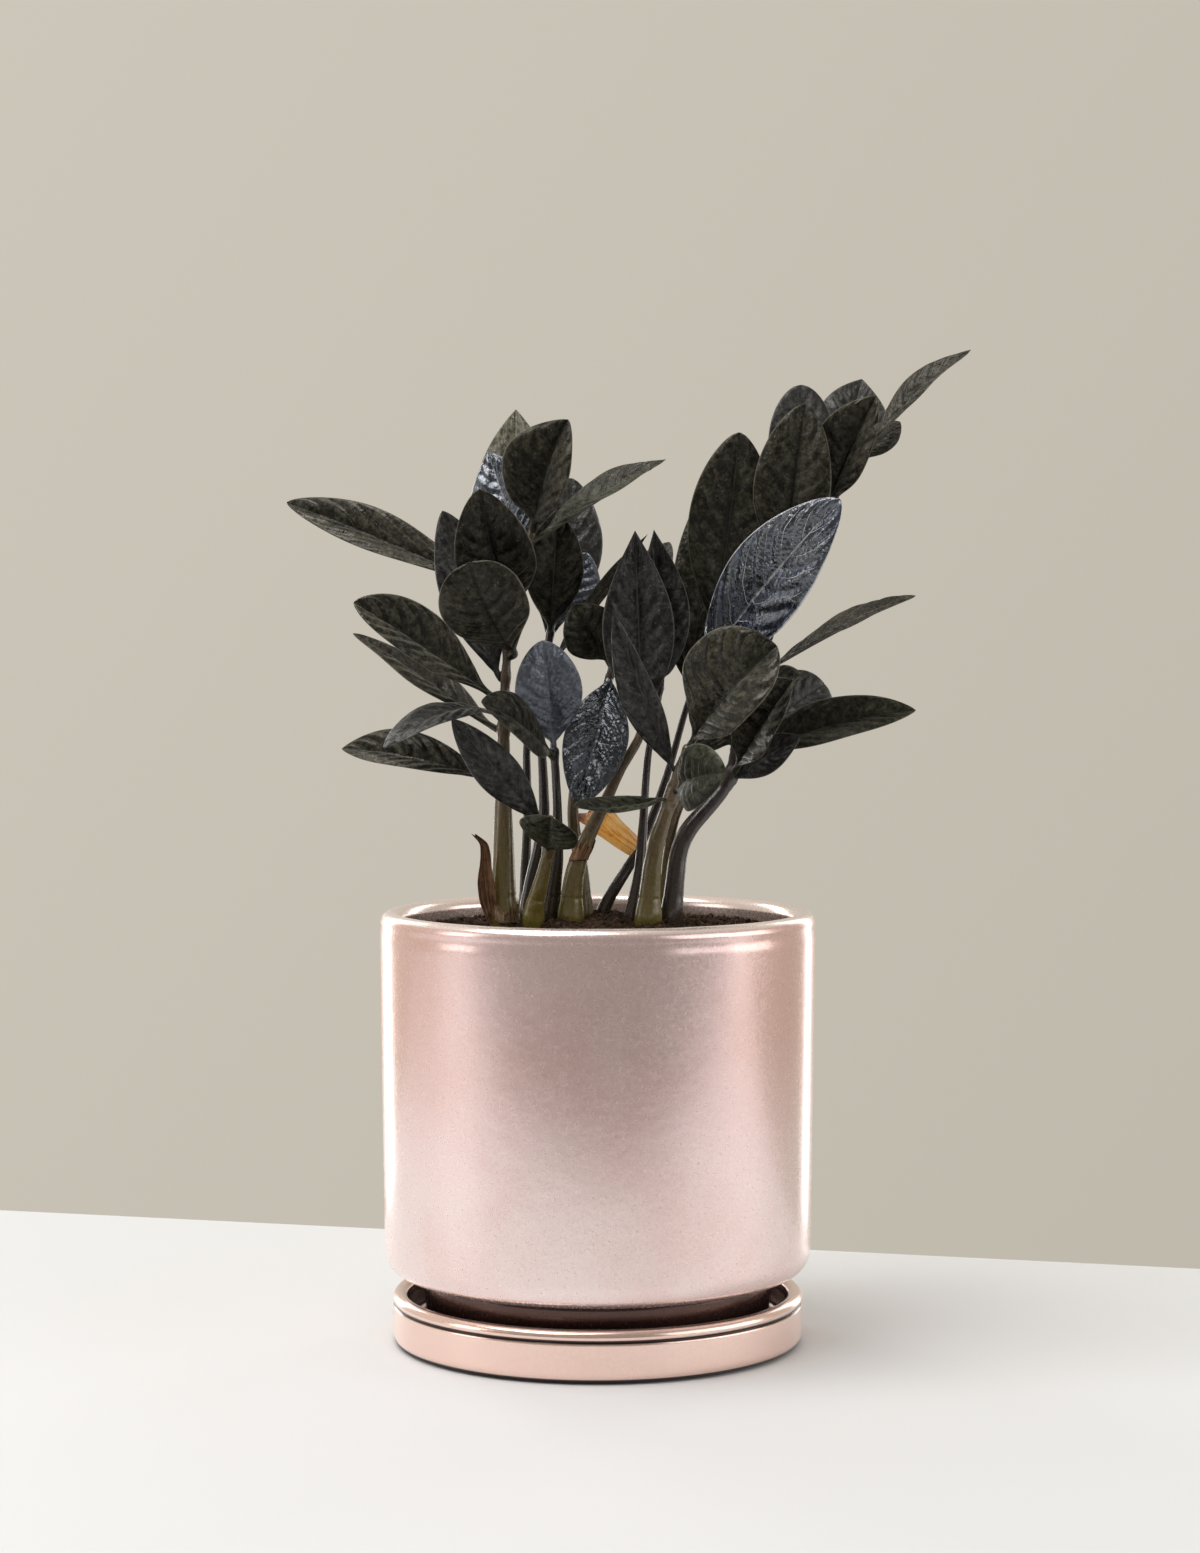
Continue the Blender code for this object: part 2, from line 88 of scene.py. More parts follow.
# %% Backdrop light
def add(tree, kind, links=None, **settings):
    """Add a shader node. Settings are its properties, and links feed its inputs by value or by socket."""
    made = tree.nodes.new("ShaderNode" + kind)
    for key, value in settings.items():
        setattr(made, key, value)
    for key, value in (links or {}).items():
        if isinstance(value, bpy.types.NodeSocket):
            tree.links.new(value, made.inputs[key])
        else:
            made.inputs[key].default_value = value
    return made


def ramp(tree, value, *stops):
    """A colour ramp over a value. Each stop is (position, (red, green, blue))."""
    made = add(tree, "ValToRGB", {"Fac": value})
    elements = made.color_ramp.elements
    while len(elements) < len(stops):
        elements.new(0.5)
    for element, (position, colour) in zip(elements, stops):
        element.position = position
        element.color = (*colour, 1.0)
    return made.outputs["Color"]


world = bpy.data.worlds.new("studio")
bpy.context.scene.world = world
world.use_nodes = True
sky = world.node_tree
direction = add(sky, "TexCoord").outputs["Generated"]
across = add(sky, "VectorMath", {0: direction, 1: (-0.5, 0.0, 0.35)}, operation="DOT_PRODUCT")
slope = add(sky, "MapRange", {"Value": across.outputs["Value"], "From Min": -0.25, "From Max": 0.35})
backdrop = ramp(sky, slope.outputs["Result"], (0.0, (0.50, 0.465, 0.395)), (1.0, (0.66, 0.61, 0.53)))
away = add(sky, "SeparateXYZ", {0: direction}).outputs["Y"]
dimmed = add(sky, "MapRange", {"Value": away, "From Min": -0.7, "From Max": 0.3, "To Min": 0.38})
seen = add(sky, "LightPath").outputs["Is Camera Ray"]
strength = add(sky, "Math", {0: dimmed.outputs["Result"], 1: seen}, operation="MAXIMUM").outputs["Value"]
sky.links.new(backdrop, sky.nodes["Background"].inputs["Color"])
sky.links.new(strength, sky.nodes["Background"].inputs["Strength"])
print("backdrop set")

# %% [markdown]
# The lamp that shapes everything is a large soft square overhead, a little to the left and in
# front, so that whatever faces up is light and whatever faces the camera is dark. A weak one at
# the right keeps the shadows open. One on either side puts glints on the waxy leaves and the
# flanks of the pot, and two tall ones behind it draw the bright edges of the glaze. Area lamps are
# chosen because a sun or a point would give hard shadows.
# The pot is half a mirror, so the white table shapes it too. The front edge of the table is
# near the pot. What lies beyond it is dim, and shows in the glaze as the dark middle above a pale
# foot. The back edge runs aslant, as it does behind the real pot.

# %% Lamps and table
def lamp(name, place, target, width, height, watts, colour=(1.0, 1.0, 1.0)):
    """A rectangular area lamp at a place, turned so that its -Z axis points at the target."""
    data = bpy.data.lights.new(name, "AREA")
    data.shape = "RECTANGLE"
    data.size = width
    data.size_y = height
    data.energy = watts
    data.color = colour
    made = bpy.data.objects.new(name, data)
    made.location = place
    aim = np.array(target) - np.array(place)
    flat = math.hypot(aim[0], aim[1])
    made.rotation_euler = (math.atan2(flat, -aim[2]), 0.0, math.atan2(aim[1], aim[0]) - math.pi / 2)
    bpy.context.scene.collection.objects.link(made)
    return made


lamp("key", (-0.42, -0.28, 1.3), (0.0, -0.05, 0.12), 0.9, 0.9, 13.5, (1.0, 0.99, 0.975))
lamp("fill", (1.2, -0.8, 0.6), (0.0, 0.0, 0.12), 0.9, 0.9, 3.4, (0.99, 0.99, 1.0))
lamp("side_left", (-1.3, -0.3, 0.45), (0.0, 0.0, 0.12), 0.5, 0.7, 1.9, (1.0, 0.96, 0.95))
lamp("side_right", (1.3, -0.1, 0.4), (0.0, 0.0, 0.12), 0.7, 0.7, 2.8, (1.0, 0.95, 0.93))
lamp("edge_left", (-0.75, 1.1, 0.35), (0.0, 0.0, 0.10), 0.35, 1.2, 4.2)
lamp("edge_right", (0.75, 1.1, 0.35), (0.0, 0.0, 0.10), 0.35, 1.2, 2.6)

TABLE_FRONT, TABLE_SIDE = -0.37, 1.6
corners = [(-TABLE_SIDE, TABLE_FRONT, 0.0), (TABLE_SIDE, TABLE_FRONT, 0.0),
           (TABLE_SIDE, -0.256, 0.0), (-TABLE_SIDE, 0.568, 0.0)]
table_mesh = bpy.data.meshes.new("table_top")
table_mesh.from_pydata(corners, [], [(0, 1, 2, 3)])
table = bpy.data.objects.new("table_top", table_mesh)
bpy.context.scene.collection.objects.link(table)
white = bpy.data.materials.new("white_table")
white.use_nodes = True
white.node_tree.nodes["Principled BSDF"].inputs["Base Color"].default_value = (0.73, 0.745, 0.765, 1.0)
white.node_tree.nodes["Principled BSDF"].inputs["Roughness"].default_value = 0.6
table_mesh.materials.append(white)

# %% [markdown]
# ## From a grid of points to a piece
#
# Every new surface here is a grid: rows along one parameter and columns along another. One helper
# turns such a grid into a mesh. It can join the last column to the first, as round a tube, join
# the last row to the first, as round a ring, and close the two ends of a tube with a fan. At the
# end it measures the volume, and turns all faces round if that comes out negative.

# %% Surface helper
def surface(name, grid, round_columns=False, round_rows=False, caps=False, uv=None):
    """A mesh from a (rows, columns, 3) grid in metres: each cell between four points is a face."""
    rows, columns, _ = grid.shape
    index = np.arange(rows * columns).reshape(rows, columns)
    if round_columns:
        index = np.hstack([index, index[:, :1]])
    if round_rows:
        index = np.vstack([index, index[:1]])
    quads = np.stack([index[:-1, :-1], index[:-1, 1:], index[1:, 1:], index[1:, :-1]], -1).reshape(-1, 4)
    points = grid.reshape(-1, 3)
    maps = None if uv is None else uv.reshape(-1, 2)
    loops, totals = quads.ravel(), np.full(len(quads), 4)
    if caps:
        poles = np.array([grid[0].mean(0), grid[-1].mean(0)])
        points = np.vstack([points, poles])
        first, last = len(points) - 2, len(points) - 1
        low = np.stack([index[0, 1:], index[0, :-1], np.full(index.shape[1] - 1, first)], -1)
        high = np.stack([index[-1, :-1], index[-1, 1:], np.full(index.shape[1] - 1, last)], -1)
        fans = np.vstack([low, high])
        loops, totals = np.append(loops, fans.ravel()), np.append(totals, np.full(len(fans), 3))
        if maps is not None:
            maps = np.vstack([maps, uv[0].mean(0), uv[-1].mean(0)])
    return mesh_of(name, points, loops, totals, maps)


def mesh_of(name, points, loops, totals, maps=None):
    """A smooth mesh from points and faces, with its faces turned outwards by the sign of its volume."""
    starts = np.cumsum(totals) - totals
    a, b, c = points[loops[starts]], points[loops[starts + 1]], points[loops[starts + 2]]
    d = points[loops[starts + totals - 1]]
    volume = (a * np.cross(b, c)).sum() + (a * np.cross(c, d)).sum()
    if volume < 0:
        order = np.arange(len(loops))
        within = order - np.repeat(starts, totals)
        loops = loops[np.repeat(starts, totals) + np.repeat(totals, totals) - 1 - within]
    mesh = bpy.data.meshes.new(name)
    mesh.vertices.add(len(points))
    mesh.loops.add(len(loops))
    mesh.polygons.add(len(totals))
    mesh.vertices.foreach_set("co", points.astype(np.float32).ravel())
    mesh.loops.foreach_set("vertex_index", loops.astype(np.int32))
    mesh.polygons.foreach_set("loop_start", starts.astype(np.int32))
    mesh.polygons.foreach_set("use_smooth", np.ones(len(totals), bool))
    if maps is not None:
        mesh.uv_layers.new(name="shape").uv.foreach_set("vector", maps[loops].astype(np.float32).ravel())
    mesh.update(calc_edges=True)
    mesh.validate()
    return mesh


def piece(mesh, material, slot, *replaced):
    """Put a mesh into the object: it rides with the frame and stands for CAD nodes. Its slot is not used."""
    mesh.materials.append(material)
    made = bpy.data.objects.new(mesh.name, mesh)
    bpy.context.scene.collection.objects.link(made)
    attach(made, "root")
    if replaced:
        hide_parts(*replaced)
    return made


def unit(vectors):
    """Vectors of length one."""
    return vectors / np.maximum(np.linalg.norm(vectors, axis=-1, keepdims=True), 1e-12)


def smoothstep(low, high, value):
    """0 below low, 1 above high, and a soft S between them."""
    t = np.clip((value - low) / (high - low), 0.0, 1.0)
    return t * t * (3.0 - 2.0 * t)


print("helpers ready")

# %% [markdown]
# ## Small tools for finishes
#
# A finish is a Principled shader whose colour, roughness and bump come from noise in the piece's
# own space. These helpers keep each finish short: some do sums on values, some make noise and
# soften it into patches, and the last one hangs the results on the shader.

# %% Shader helpers
def finish(name, **values):
    """A material with its Principled shader set from keywords, such as Roughness=0.4."""
    material = bpy.data.materials.new(name)
    material.use_nodes = True
    shader = material.node_tree.nodes["Principled BSDF"]
    for key, value in values.items():
        shader.inputs[key.replace("_", " ")].default_value = value
    return material, material.node_tree, shader


def mixed(tree, factor, first, second, how="MIX"):
    """Two colours mixed by a factor."""
    made = tree.nodes.new("ShaderNodeMix")
    made.data_type = "RGBA"
    made.blend_type = how
    for index, value in ((0, factor), (6, first), (7, second)):
        if isinstance(value, bpy.types.NodeSocket):
            tree.links.new(value, made.inputs[index])
        else:
            made.inputs[index].default_value = value if index == 0 else (*value, 1.0)
    return made.outputs[2]


def maths(tree, operation, *values):
    """One sum on shader values or numbers."""
    return add(tree, "Math", dict(enumerate(values)), operation=operation).outputs["Value"]


def times(tree, first, *others):
    """The product of two or more values."""
    for other in others:
        first = maths(tree, "MULTIPLY", first, other)
    return first


def plus(tree, first, second):
    """The sum of two values."""
    return maths(tree, "ADD", first, second)


def minus(tree, first, second):
    """The first value less the second."""
    return maths(tree, "SUBTRACT", first, second)


def shared(tree, first, second, share):
    """Two values added up: a share of the first and the rest of the second."""
    return plus(tree, times(tree, first, share), times(tree, second, 1.0 - share))


def mask(tree, value, low, high, to_low=0.0, to_high=1.0):
    """A value stretched from low..high to to_low..to_high with soft ends."""
    made = add(tree, "MapRange", {"Value": value, "From Min": low, "From Max": high,
                                  "To Min": to_low, "To Max": to_high}, interpolation_type="SMOOTHSTEP")
    return made.outputs["Result"]


def noise(tree, scale, detail=4.0, roughness=0.6, stretch=(1.0, 1.0, 1.0)):
    """Cloudy noise in the piece's own space, with so many cells per metre."""
    place = add(tree, "TexCoord").outputs["Object"]
    place = add(tree, "Mapping", {"Vector": place, "Scale": stretch}).outputs["Vector"]
    made = add(tree, "TexNoise", {"Vector": place, "Scale": scale, "Detail": detail, "Roughness": roughness})
    return made.outputs["Fac"]


def patches(tree, scale, detail, low, high, to_low=0.0, to_high=1.0, **grain):
    """Noise softened into patches: to_low where it is under low, and to_high where it is over high."""
    return mask(tree, noise(tree, scale, detail, **grain), low, high, to_low, to_high)


def dress(tree, shader, colour, height, distance, strength, rough=None):
    """Give a shader its colour, its roughness and the bump of a height map, distance in metres."""
    tree.links.new(colour, shader.inputs["Base Color"])
    if rough is not None:
        tree.links.new(rough, shader.inputs["Roughness"])
    made = add(tree, "Bump", {"Height": height, "Distance": distance, "Strength": strength})
    tree.links.new(made.outputs["Normal"], shader.inputs["Normal"])


print("shader helpers ready")

# %% [markdown]
# ## The glaze
#
# The pot's glaze is a pearly rose metal with a very fine speckle. Its colour is painted a little
# deeper towards the rim and paler below: a painted reflection of the pale table and the dim room.
# It could be painted as a plain pink, but the charm of the real ware is that it is half a mirror:
# it takes its tones from the table and the lamps. So the shader is largely metallic with a soft
# roughness. Fine noise makes the flakes in it, and a second, broad noise the clouds of the kiln.
# A terracotta flash on two flanks under the rim is a painted reflection. The saucer carries the
# same glaze, warmer and glossier. Both have strips of painted light and shade. The pot's lip is
# painted paler as a painted highlight, and its inside as painted light. The pot's foot and the
# saucer's well are painted dark brown as painted shade, the saucer's bottom edge as a painted
# contact shadow, and the groove under the saucer's lip as a painted dark reflection.

# %% Glaze finishes
def glaze(name, deep, pale, warm, metal, gloss, low, high, painted_light_bands):
    """Rose metallic glaze: deep above and pale below as a painted reflection, warm in its clouds and in a
    painted reflection on two flanks, with flakes and strips of painted light and shade.

    A band is ("height" or "reach", centre, half width, tone) in millimetres; reach is the way from the axis.
    """
    material, tree, shader = finish(name, Metallic=metal, Coat_Weight=0.3, Coat_Roughness=0.1)
    place = add(tree, "TexCoord").outputs["Object"]
    parts = add(tree, "SeparateXYZ", {0: place}).outputs
    level = add(tree, "Mapping", {"Vector": place, "Scale": (1.0, 1.0, 0.0)}).outputs["Vector"]
    reach = add(tree, "VectorMath", {0: level}, operation="LENGTH").outputs["Value"]
    measures = {"height": parts["Z"], "reach": reach}
    # Painted reflection: paler low down and deeper above, as the pale table and the dim room would mirror in
    # it.
    colour = mixed(tree, mask(tree, parts["Z"], low, high), pale, deep)
    colour = mixed(tree, times(tree, patches(tree, 22.0, 3.0, 0.42, 0.68), 0.3), colour, warm)
    # Painted reflection: a terracotta flash on both flanks under the rim.
    reflection_flank = mask(tree, maths(tree, "ABSOLUTE", parts["X"]), 0.030, 0.056)
    painted_flank_reflection = times(tree, reflection_flank, mask(tree, parts["Z"], 0.055, 0.105, 0.0, 0.7))
    colour = mixed(tree, painted_flank_reflection, colour, warm)
    spark = ramp(tree, noise(tree, 3200.0, 1.0, 0.5), (0.34, (0.86, 0.85, 0.85)), (0.64, (1.0, 1.0, 1.0)))
    colour = mixed(tree, 0.8, colour, spark, "MULTIPLY")
    # Strips of painted light and shade: each lays a tone over a range of height or of reach.
    for measure, centre, half, tone in painted_light_bands:
        off = maths(tree, "ABSOLUTE", minus(tree, measures[measure], centre * MM))
        colour = mixed(tree, mask(tree, off, (half + 0.2) * MM, (half - 0.2) * MM), colour, tone)
    rough = patches(tree, 900.0, 3.0, 0.3, 0.7, gloss - 0.03, gloss + 0.04)
    dress(tree, shader, colour, noise(tree, 160.0, 2.0), 0.0001, 0.5, rough)
    return material


POT_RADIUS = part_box("pot")[1].x / MM
POT_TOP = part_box("pot")[1].z / MM
POT_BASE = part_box("pot")[0].z / MM
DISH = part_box("saucer")[1].x / MM
DISH_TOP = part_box("saucer")[1].z / MM
# Painted shade for the pot's foot, and the tone of a painted highlight on its lip and of painted light inside
# it.
PAINTED_SHADE_BROWN = (0.11, 0.058, 0.048)
PAINTED_LIGHT_TONE = (0.96, 0.82, 0.78)
pot_glaze = glaze(
    "pot_glaze", deep=(1.0, 0.775, 0.765), pale=(1.0, 0.84, 0.82), warm=(0.82, 0.53, 0.46),
    metal=0.76, gloss=0.24, low=0.03, high=0.085,
    painted_light_bands=[("reach", 0.0, POT_RADIUS - 5.6, PAINTED_LIGHT_TONE), ("height", POT_TOP, 1.5, PAINTED_LIGHT_TONE),
           ("height", 10.0, 11.1, PAINTED_SHADE_BROWN)])
# The saucer's strips: painted shade in its well, a painted dark reflection in the groove under its lip and a
# painted contact shadow at its bottom edge.
saucer_glaze = glaze(
    "saucer_glaze", deep=(1.0, 0.75, 0.66), pale=(1.0, 0.74, 0.65), warm=(1.0, 0.77, 0.70),
    metal=0.82, gloss=0.2, low=0.0, high=0.016,
    painted_light_bands=[("reach", 0.0, DISH - 4.5, (0.16, 0.09, 0.08)),
           ("height", DISH_TOP - 3.3, 0.55, (0.03, 0.015, 0.012)),
           ("height", 0.0, 1.5, (0.10, 0.06, 0.058))])
print("glazes:", pot_glaze.name, saucer_glaze.name)

# %% [markdown]
# ## Pot and saucer
#
# Both are thrown pots: a profile spun round an axis. A Screw modifier could spin it, but a grid
# of the profile times the angle is as short, and lets the wall wander by a hair, as hand work
# does. The pot has a round lip with a faint waist under it, a rounded belly edge, and a stepped
# foot that stands in the saucer.

# %% Turned ware
def bend(centre_r, centre_z, radius, start, end, steps=14):
    """A quarter or half round of a profile: points on a circle from one angle to another."""
    angle = np.radians(np.linspace(start, end, steps))
    return np.stack([centre_r + radius * np.cos(angle), centre_z + radius * np.sin(angle)], -1)


def run(start, end, steps):
    """A straight stretch of a profile."""
    return np.linspace(start, end, steps)


def spun(name, profile, turns=160, closed=False, wander=0.0):
    """The profile's points (radius, height), in millimetres, carried round Z. The radius wanders a little."""
    angle = np.linspace(0.0, 2.0 * math.pi, turns, endpoint=False)
    radius, height = profile[:, :1] * MM, profile[:, 1:] * MM
    drift = wander * MM * np.sin(2.0 * angle + 0.7 + height * 25.0) * smoothstep(0.04, 0.05, radius)
    radius = radius + drift
    grid = np.stack([radius * np.cos(angle), radius * np.sin(angle), height + 0.0 * angle], -1)
    return surface(name, grid, round_columns=True, round_rows=closed, caps=not closed)


WALL = 6.4
LIP = WALL / 2
BODY = POT_RADIUS - 1.4
FOOT = 51.4
FOOT_TOP = 20.0
WELL = 7.0
waist = run((BODY, 28.0), (POT_RADIUS, POT_TOP - LIP), 110)
waist[:, 0] -= 0.10 * np.exp(-((waist[:, 1] - (POT_TOP - 5.6)) / 1.2) ** 2)
waist[:, 0] -= 0.25 * smoothstep(POT_TOP - 8.0, POT_TOP - 3.0, waist[:, 1])
pot_profile = np.vstack([
    run((FOOT - 1.4, POT_BASE), (FOOT - 0.3, POT_BASE + 0.6), 4),
    run((FOOT, POT_BASE + 1.6), (FOOT, FOOT_TOP), 12),
    bend(FOOT + 1.0, FOOT_TOP, 1.0, 180, 90, 5),
    run((FOOT + 1.8, FOOT_TOP + 1.0), (BODY - 7.4, FOOT_TOP + 1.0), 4),
    bend(BODY - 7.0, 28.0, 7.0, -90, 0, 16)[1:],
    waist[1:-1],
    bend(POT_RADIUS - 0.25 - LIP + 0.12, POT_TOP - LIP, LIP, 0, 180, 24),
    run((POT_RADIUS - WALL, POT_TOP - LIP - 2.0), (BODY - WALL, 34.0), 30),
    bend(BODY - WALL - 5.6, 33.0, 5.6, 0, -90, 8),
    run((FOOT - 5.0, 27.4), (FOOT - WALL, 26.0), 3),
    bend(FOOT - WALL - 4.0, 16.6, 4.0, 0, -90, 6),
    run((8.0, 12.6), (6.5, 12.2), 3),
    run((6.5, 11.0), (6.5, WELL), 4),
    run((8.0, WELL), (FOOT - 8.0, WELL), 8),
    run((FOOT - 6.8, 6.4), (FOOT - 6.4, POT_BASE), 3),
])
pot_body = piece(spun("pot_body", pot_profile, closed=True, wander=0.12), pot_glaze, "pot_glaze", "pot")

dish_wall = run((DISH, 4.6), (DISH - 0.1, DISH_TOP - 2.5), 30)
dish_wall[:, 0] -= 0.45 * np.exp(-((dish_wall[:, 1] - DISH_TOP + 3.3) / 0.45) ** 2)
saucer_profile = np.vstack([
    run((0.5, 0.4), (DISH - 7.0, 0.4), 14),
    run((DISH - 6.2, 0.0), (DISH - 4.2, 0.0), 3),
    bend(DISH - 3.6, 3.6, 3.6, -90, 0, 12)[1:],
    dish_wall,
    bend(DISH - 2.3, DISH_TOP - 2.3, 2.3, 0, 180, 18),
    run((DISH - 4.6, DISH_TOP - 3.4), (DISH - 4.7, 8.6), 6),
    bend(DISH - 7.1, 7.5, 2.5, 0, -90, 8),
    run((DISH - 8.5, 5.0), (0.5, 5.0), 14),
])
saucer_dish = piece(spun("saucer_dish", saucer_profile, wander=0.1), saucer_glaze, "saucer_glaze", "saucer")
for ware in (pot_body, saucer_dish):
    print(ware.name, [round(v / MM, 1) for v in ware.dimensions], "mm")

# %% [markdown]
# ## Reading the stalks from the frame
#
# The CAD stalks are coarse tubes of eight sides. Each of them climbs all the way, so a level cut
# goes through it just once: the mean of the cut is a point of its middle line, and the farthest
# cut point, measured square to that line, gives its radius. All cuts are worked out at once, as
# a table of heights against edges.

# %% Stalk middle lines
def mesh_arrays(node):
    """A CAD node's points and edges as arrays, in millimetres."""
    mesh = nodes[node].data
    points = np.empty(len(mesh.vertices) * 3, np.float32)
    mesh.vertices.foreach_get("co", points)
    edges = np.empty(len(mesh.edges) * 2, np.int32)
    mesh.edges.foreach_get("vertices", edges)
    return points.reshape(-1, 3).astype(float) / MM, edges.reshape(-1, 2)


def middle_line(node, count=90, inset=1.4):
    """Middle points and radii of a stalk: the mean of each level cut, and its widest reach."""
    points, edges = mesh_arrays(node)
    a, b = points[edges[:, 0]], points[edges[:, 1]]
    rise = b[:, 2] - a[:, 2]
    level = np.linspace(points[:, 2].min() + inset, points[:, 2].max() - inset, count)[:, None]
    cut = (np.minimum(a[:, 2], b[:, 2]) < level) & (np.maximum(a[:, 2], b[:, 2]) > level)
    share = (level - a[:, 2]) / np.where(np.abs(rise) < 1e-9, 1.0, rise)
    reach = a + np.where(cut, share, 0.0)[..., None] * (b - a)
    weight = cut[..., None] / cut.sum(1)[:, None, None]
    middle = (reach * weight).sum(1)
    along = unit(np.gradient(middle, axis=0))
    spread = reach - middle[:, None]
    spread = spread - (spread * along[:, None]).sum(-1, keepdims=True) * along[:, None]
    radius = np.where(cut, np.linalg.norm(spread, axis=-1), 0.0).max(1)
    middle = np.vstack([middle, middle[-1] + along[-1] * inset / along[-1][2]])
    return middle, np.append(radius, radius[-1])


stalks = {name: middle_line(name) for name in sorted(nodes) if name.startswith("stem_")}
for name, (middle, radius) in stalks.items():
    print(name, "top at", np.round(middle[-1], 1), "radius", round(radius[8], 2), "to", round(radius[-1], 2))

# %% [markdown]
# ## Reading the leaves from the frame
#
# A CAD leaf is a thin folded blade: eight stations from root to tip, each with two edges and a
# midrib. The two points farthest apart lie at its root and its tip. The blade is narrower near
# the root, which tells which end is which. The widest station gives the side direction, the fold,
# the arch and the width. Those few numbers are enough to grow a fine leaf in the same place.

# %% Leaf measures
def leaf_measures(node):
    """Root, tip, side and up directions, half width, fold and arch of a coarse blade."""
    points, _ = mesh_arrays(node)
    points = np.unique(np.round(points, 3), axis=0)
    apart = np.linalg.norm(points[:, None] - points[None], axis=-1)
    first, last = np.unravel_index(apart.argmax(), apart.shape)
    ends = [points[np.argsort(apart[k])[:6]].mean(0) for k in (first, last)]
    chord = unit(ends[1] - ends[0])
    share = (points - ends[0]) @ chord / np.linalg.norm(ends[1] - ends[0])
    off = points - ends[0] - np.outer((points - ends[0]) @ chord, chord)
    near = [np.linalg.norm(off[np.abs(share - s) < 0.045], axis=1).max(initial=0.0) for s in (0.1, 0.9)]
    root, tip = ends if near[0] < near[1] else ends[::-1]
    chord = unit(tip - root)
    share = (points - root) @ chord / np.linalg.norm(tip - root)
    wide = points[np.abs(share - 0.55) < 0.06]
    flat = wide - wide.mean(0)
    flat = flat - np.outer(flat @ chord, chord)
    side = unit(np.linalg.svd(flat, full_matrices=False)[2][0])
    up = np.cross(side, chord)
    order = np.argsort(wide @ side)
    left, right = wide[order[:2]].mean(0), wide[order[-2:]].mean(0)
    middle = wide[order[2:-2]].mean(0) if len(wide) > 4 else root + 0.55 * (tip - root)
    raised = ((left + right) / 2 - middle) @ up
    if raised < 0:
        up, raised = -up, -raised
    spread = abs((right - left) @ side) / 2
    arch = (middle - root) @ up
    return {"root": root, "tip": tip, "side": side, "up": up, "half": math.hypot(spread, raised),
            "fold": math.atan2(raised, spread), "arch": arch}


blades = {name: leaf_measures(name) for name in sorted(nodes) if name.startswith("leaf_")}
for name, m in blades.items():
    length = float(np.linalg.norm(m["tip"] - m["root"]))
    print(name, "length", round(length, 1), "width", round(2 * m["half"], 1),
          "fold", round(math.degrees(m["fold"])), "arch", round(m["arch"], 1))

# %% [markdown]
# A leaf has to grow out of its stalk. The nearest point of any middle line to the leaf's root
# says which stalk that is, and where. Four small leaves and one thin stalk of the real plant are
# too much for the frame, so they are added here one by one: a stalk, a height, a tip and a width.
# Three leaves that the frame has are set a few millimetres truer: two in the same way, and one
# by a shift of its two ends.

# %% Joints between leaves and stalks
line_names = sorted(stalks)
line_points = np.vstack([stalks[name][0] for name in line_names])
line_owner = np.concatenate([[k] * len(stalks[name][0]) for k, name in enumerate(line_names)])
line_along = np.vstack([unit(np.gradient(stalks[name][0], axis=0)) for name in line_names])


def joint_of(root):
    """The nearest stalk's name, its nearest point and its direction there."""
    nearest = np.linalg.norm(line_points - root, axis=1).argmin()
    return line_names[line_owner[nearest]], line_points[nearest], line_along[nearest]


def leaf_on(stalk, height, tip, width, facing, fold, arch=1.0):
    """Measures of a leaf that leaves a stalk at a height and looks along facing, fold in degrees."""
    middle, radius = stalks[stalk]
    nearest = np.abs(middle[:, 2] - height).argmin()
    tip = np.array(tip, float)
    outward = unit(tip - middle[nearest])
    root = middle[nearest] + outward * (radius[nearest] + 0.6)
    chord = unit(tip - root)
    up = np.array(facing, float)
    up = unit(up - chord * (up @ chord))
    return {"root": root, "tip": tip, "side": np.cross(chord, up), "up": up, "half": width / 2,
            "fold": math.radians(fold), "arch": arch}


def followed(at, known, points):
    """Points read off a line at some places, between the points that are known."""
    return np.stack([np.interp(at, known, points[:, k]) for k in range(3)], -1)


far_line = np.array([(-22.5, 15.0, 124.0), (-22.0, 15.5, 140.0), (-21.2, 16.0, 158.0),
                     (-21.6, 16.0, 176.0), (-20.6, 15.5, 190.0)])
far_rise = np.linspace(124.0, 190.0, 60)
stalks["stem_far"] = (followed(far_rise, far_line[:, 2], far_line), np.linspace(1.7, 1.0, 60))
blades["leaf_right_tiny"] = leaf_on("stem_right", 262, (91, 14, 275), 9, (0, -1, 0.3), 12)
blades["leaf_right_under"] = leaf_on("stem_right", 177, (33, 2, 186.5), 17, (0.1, -1, -0.5), 8, 0.3)
blades["leaf_right_edge_on"] = leaf_on("stem_right", 167, (60, -10, 181), 12, (0, -0.85, 0.5), 12)
blades["leaf_slim_low"] = leaf_on("stem_slim", 193, (28, 28, 224), 14, (0, -1, 0.2), 12)
blades["leaf_back_shaded"] = leaf_on("stem_back", 211, (-12, 2, 248), 18, (0.1, -1, 0.2), 12)
small = blades["leaf_front_small"]["root"]
blades["leaf_front_small"] = leaf_on("stem_front", small[2] - 9.0, small + (0.4, -8.0, 2.5), 18.5,
                                     (0, -1, 0.7), 4, 0.4)
blades["leaf_left_round"]["root"] = blades["leaf_left_round"]["root"] + (4.0, 0.0, 0.0)
blades["leaf_left_round"]["tip"] = blades["leaf_left_round"]["tip"] + (-4.8, 0.0, -1.0)
joints = {name: joint_of(m["root"]) for name, m in blades.items()}
print("leaves:", len(blades), "stalks:", len(stalks))

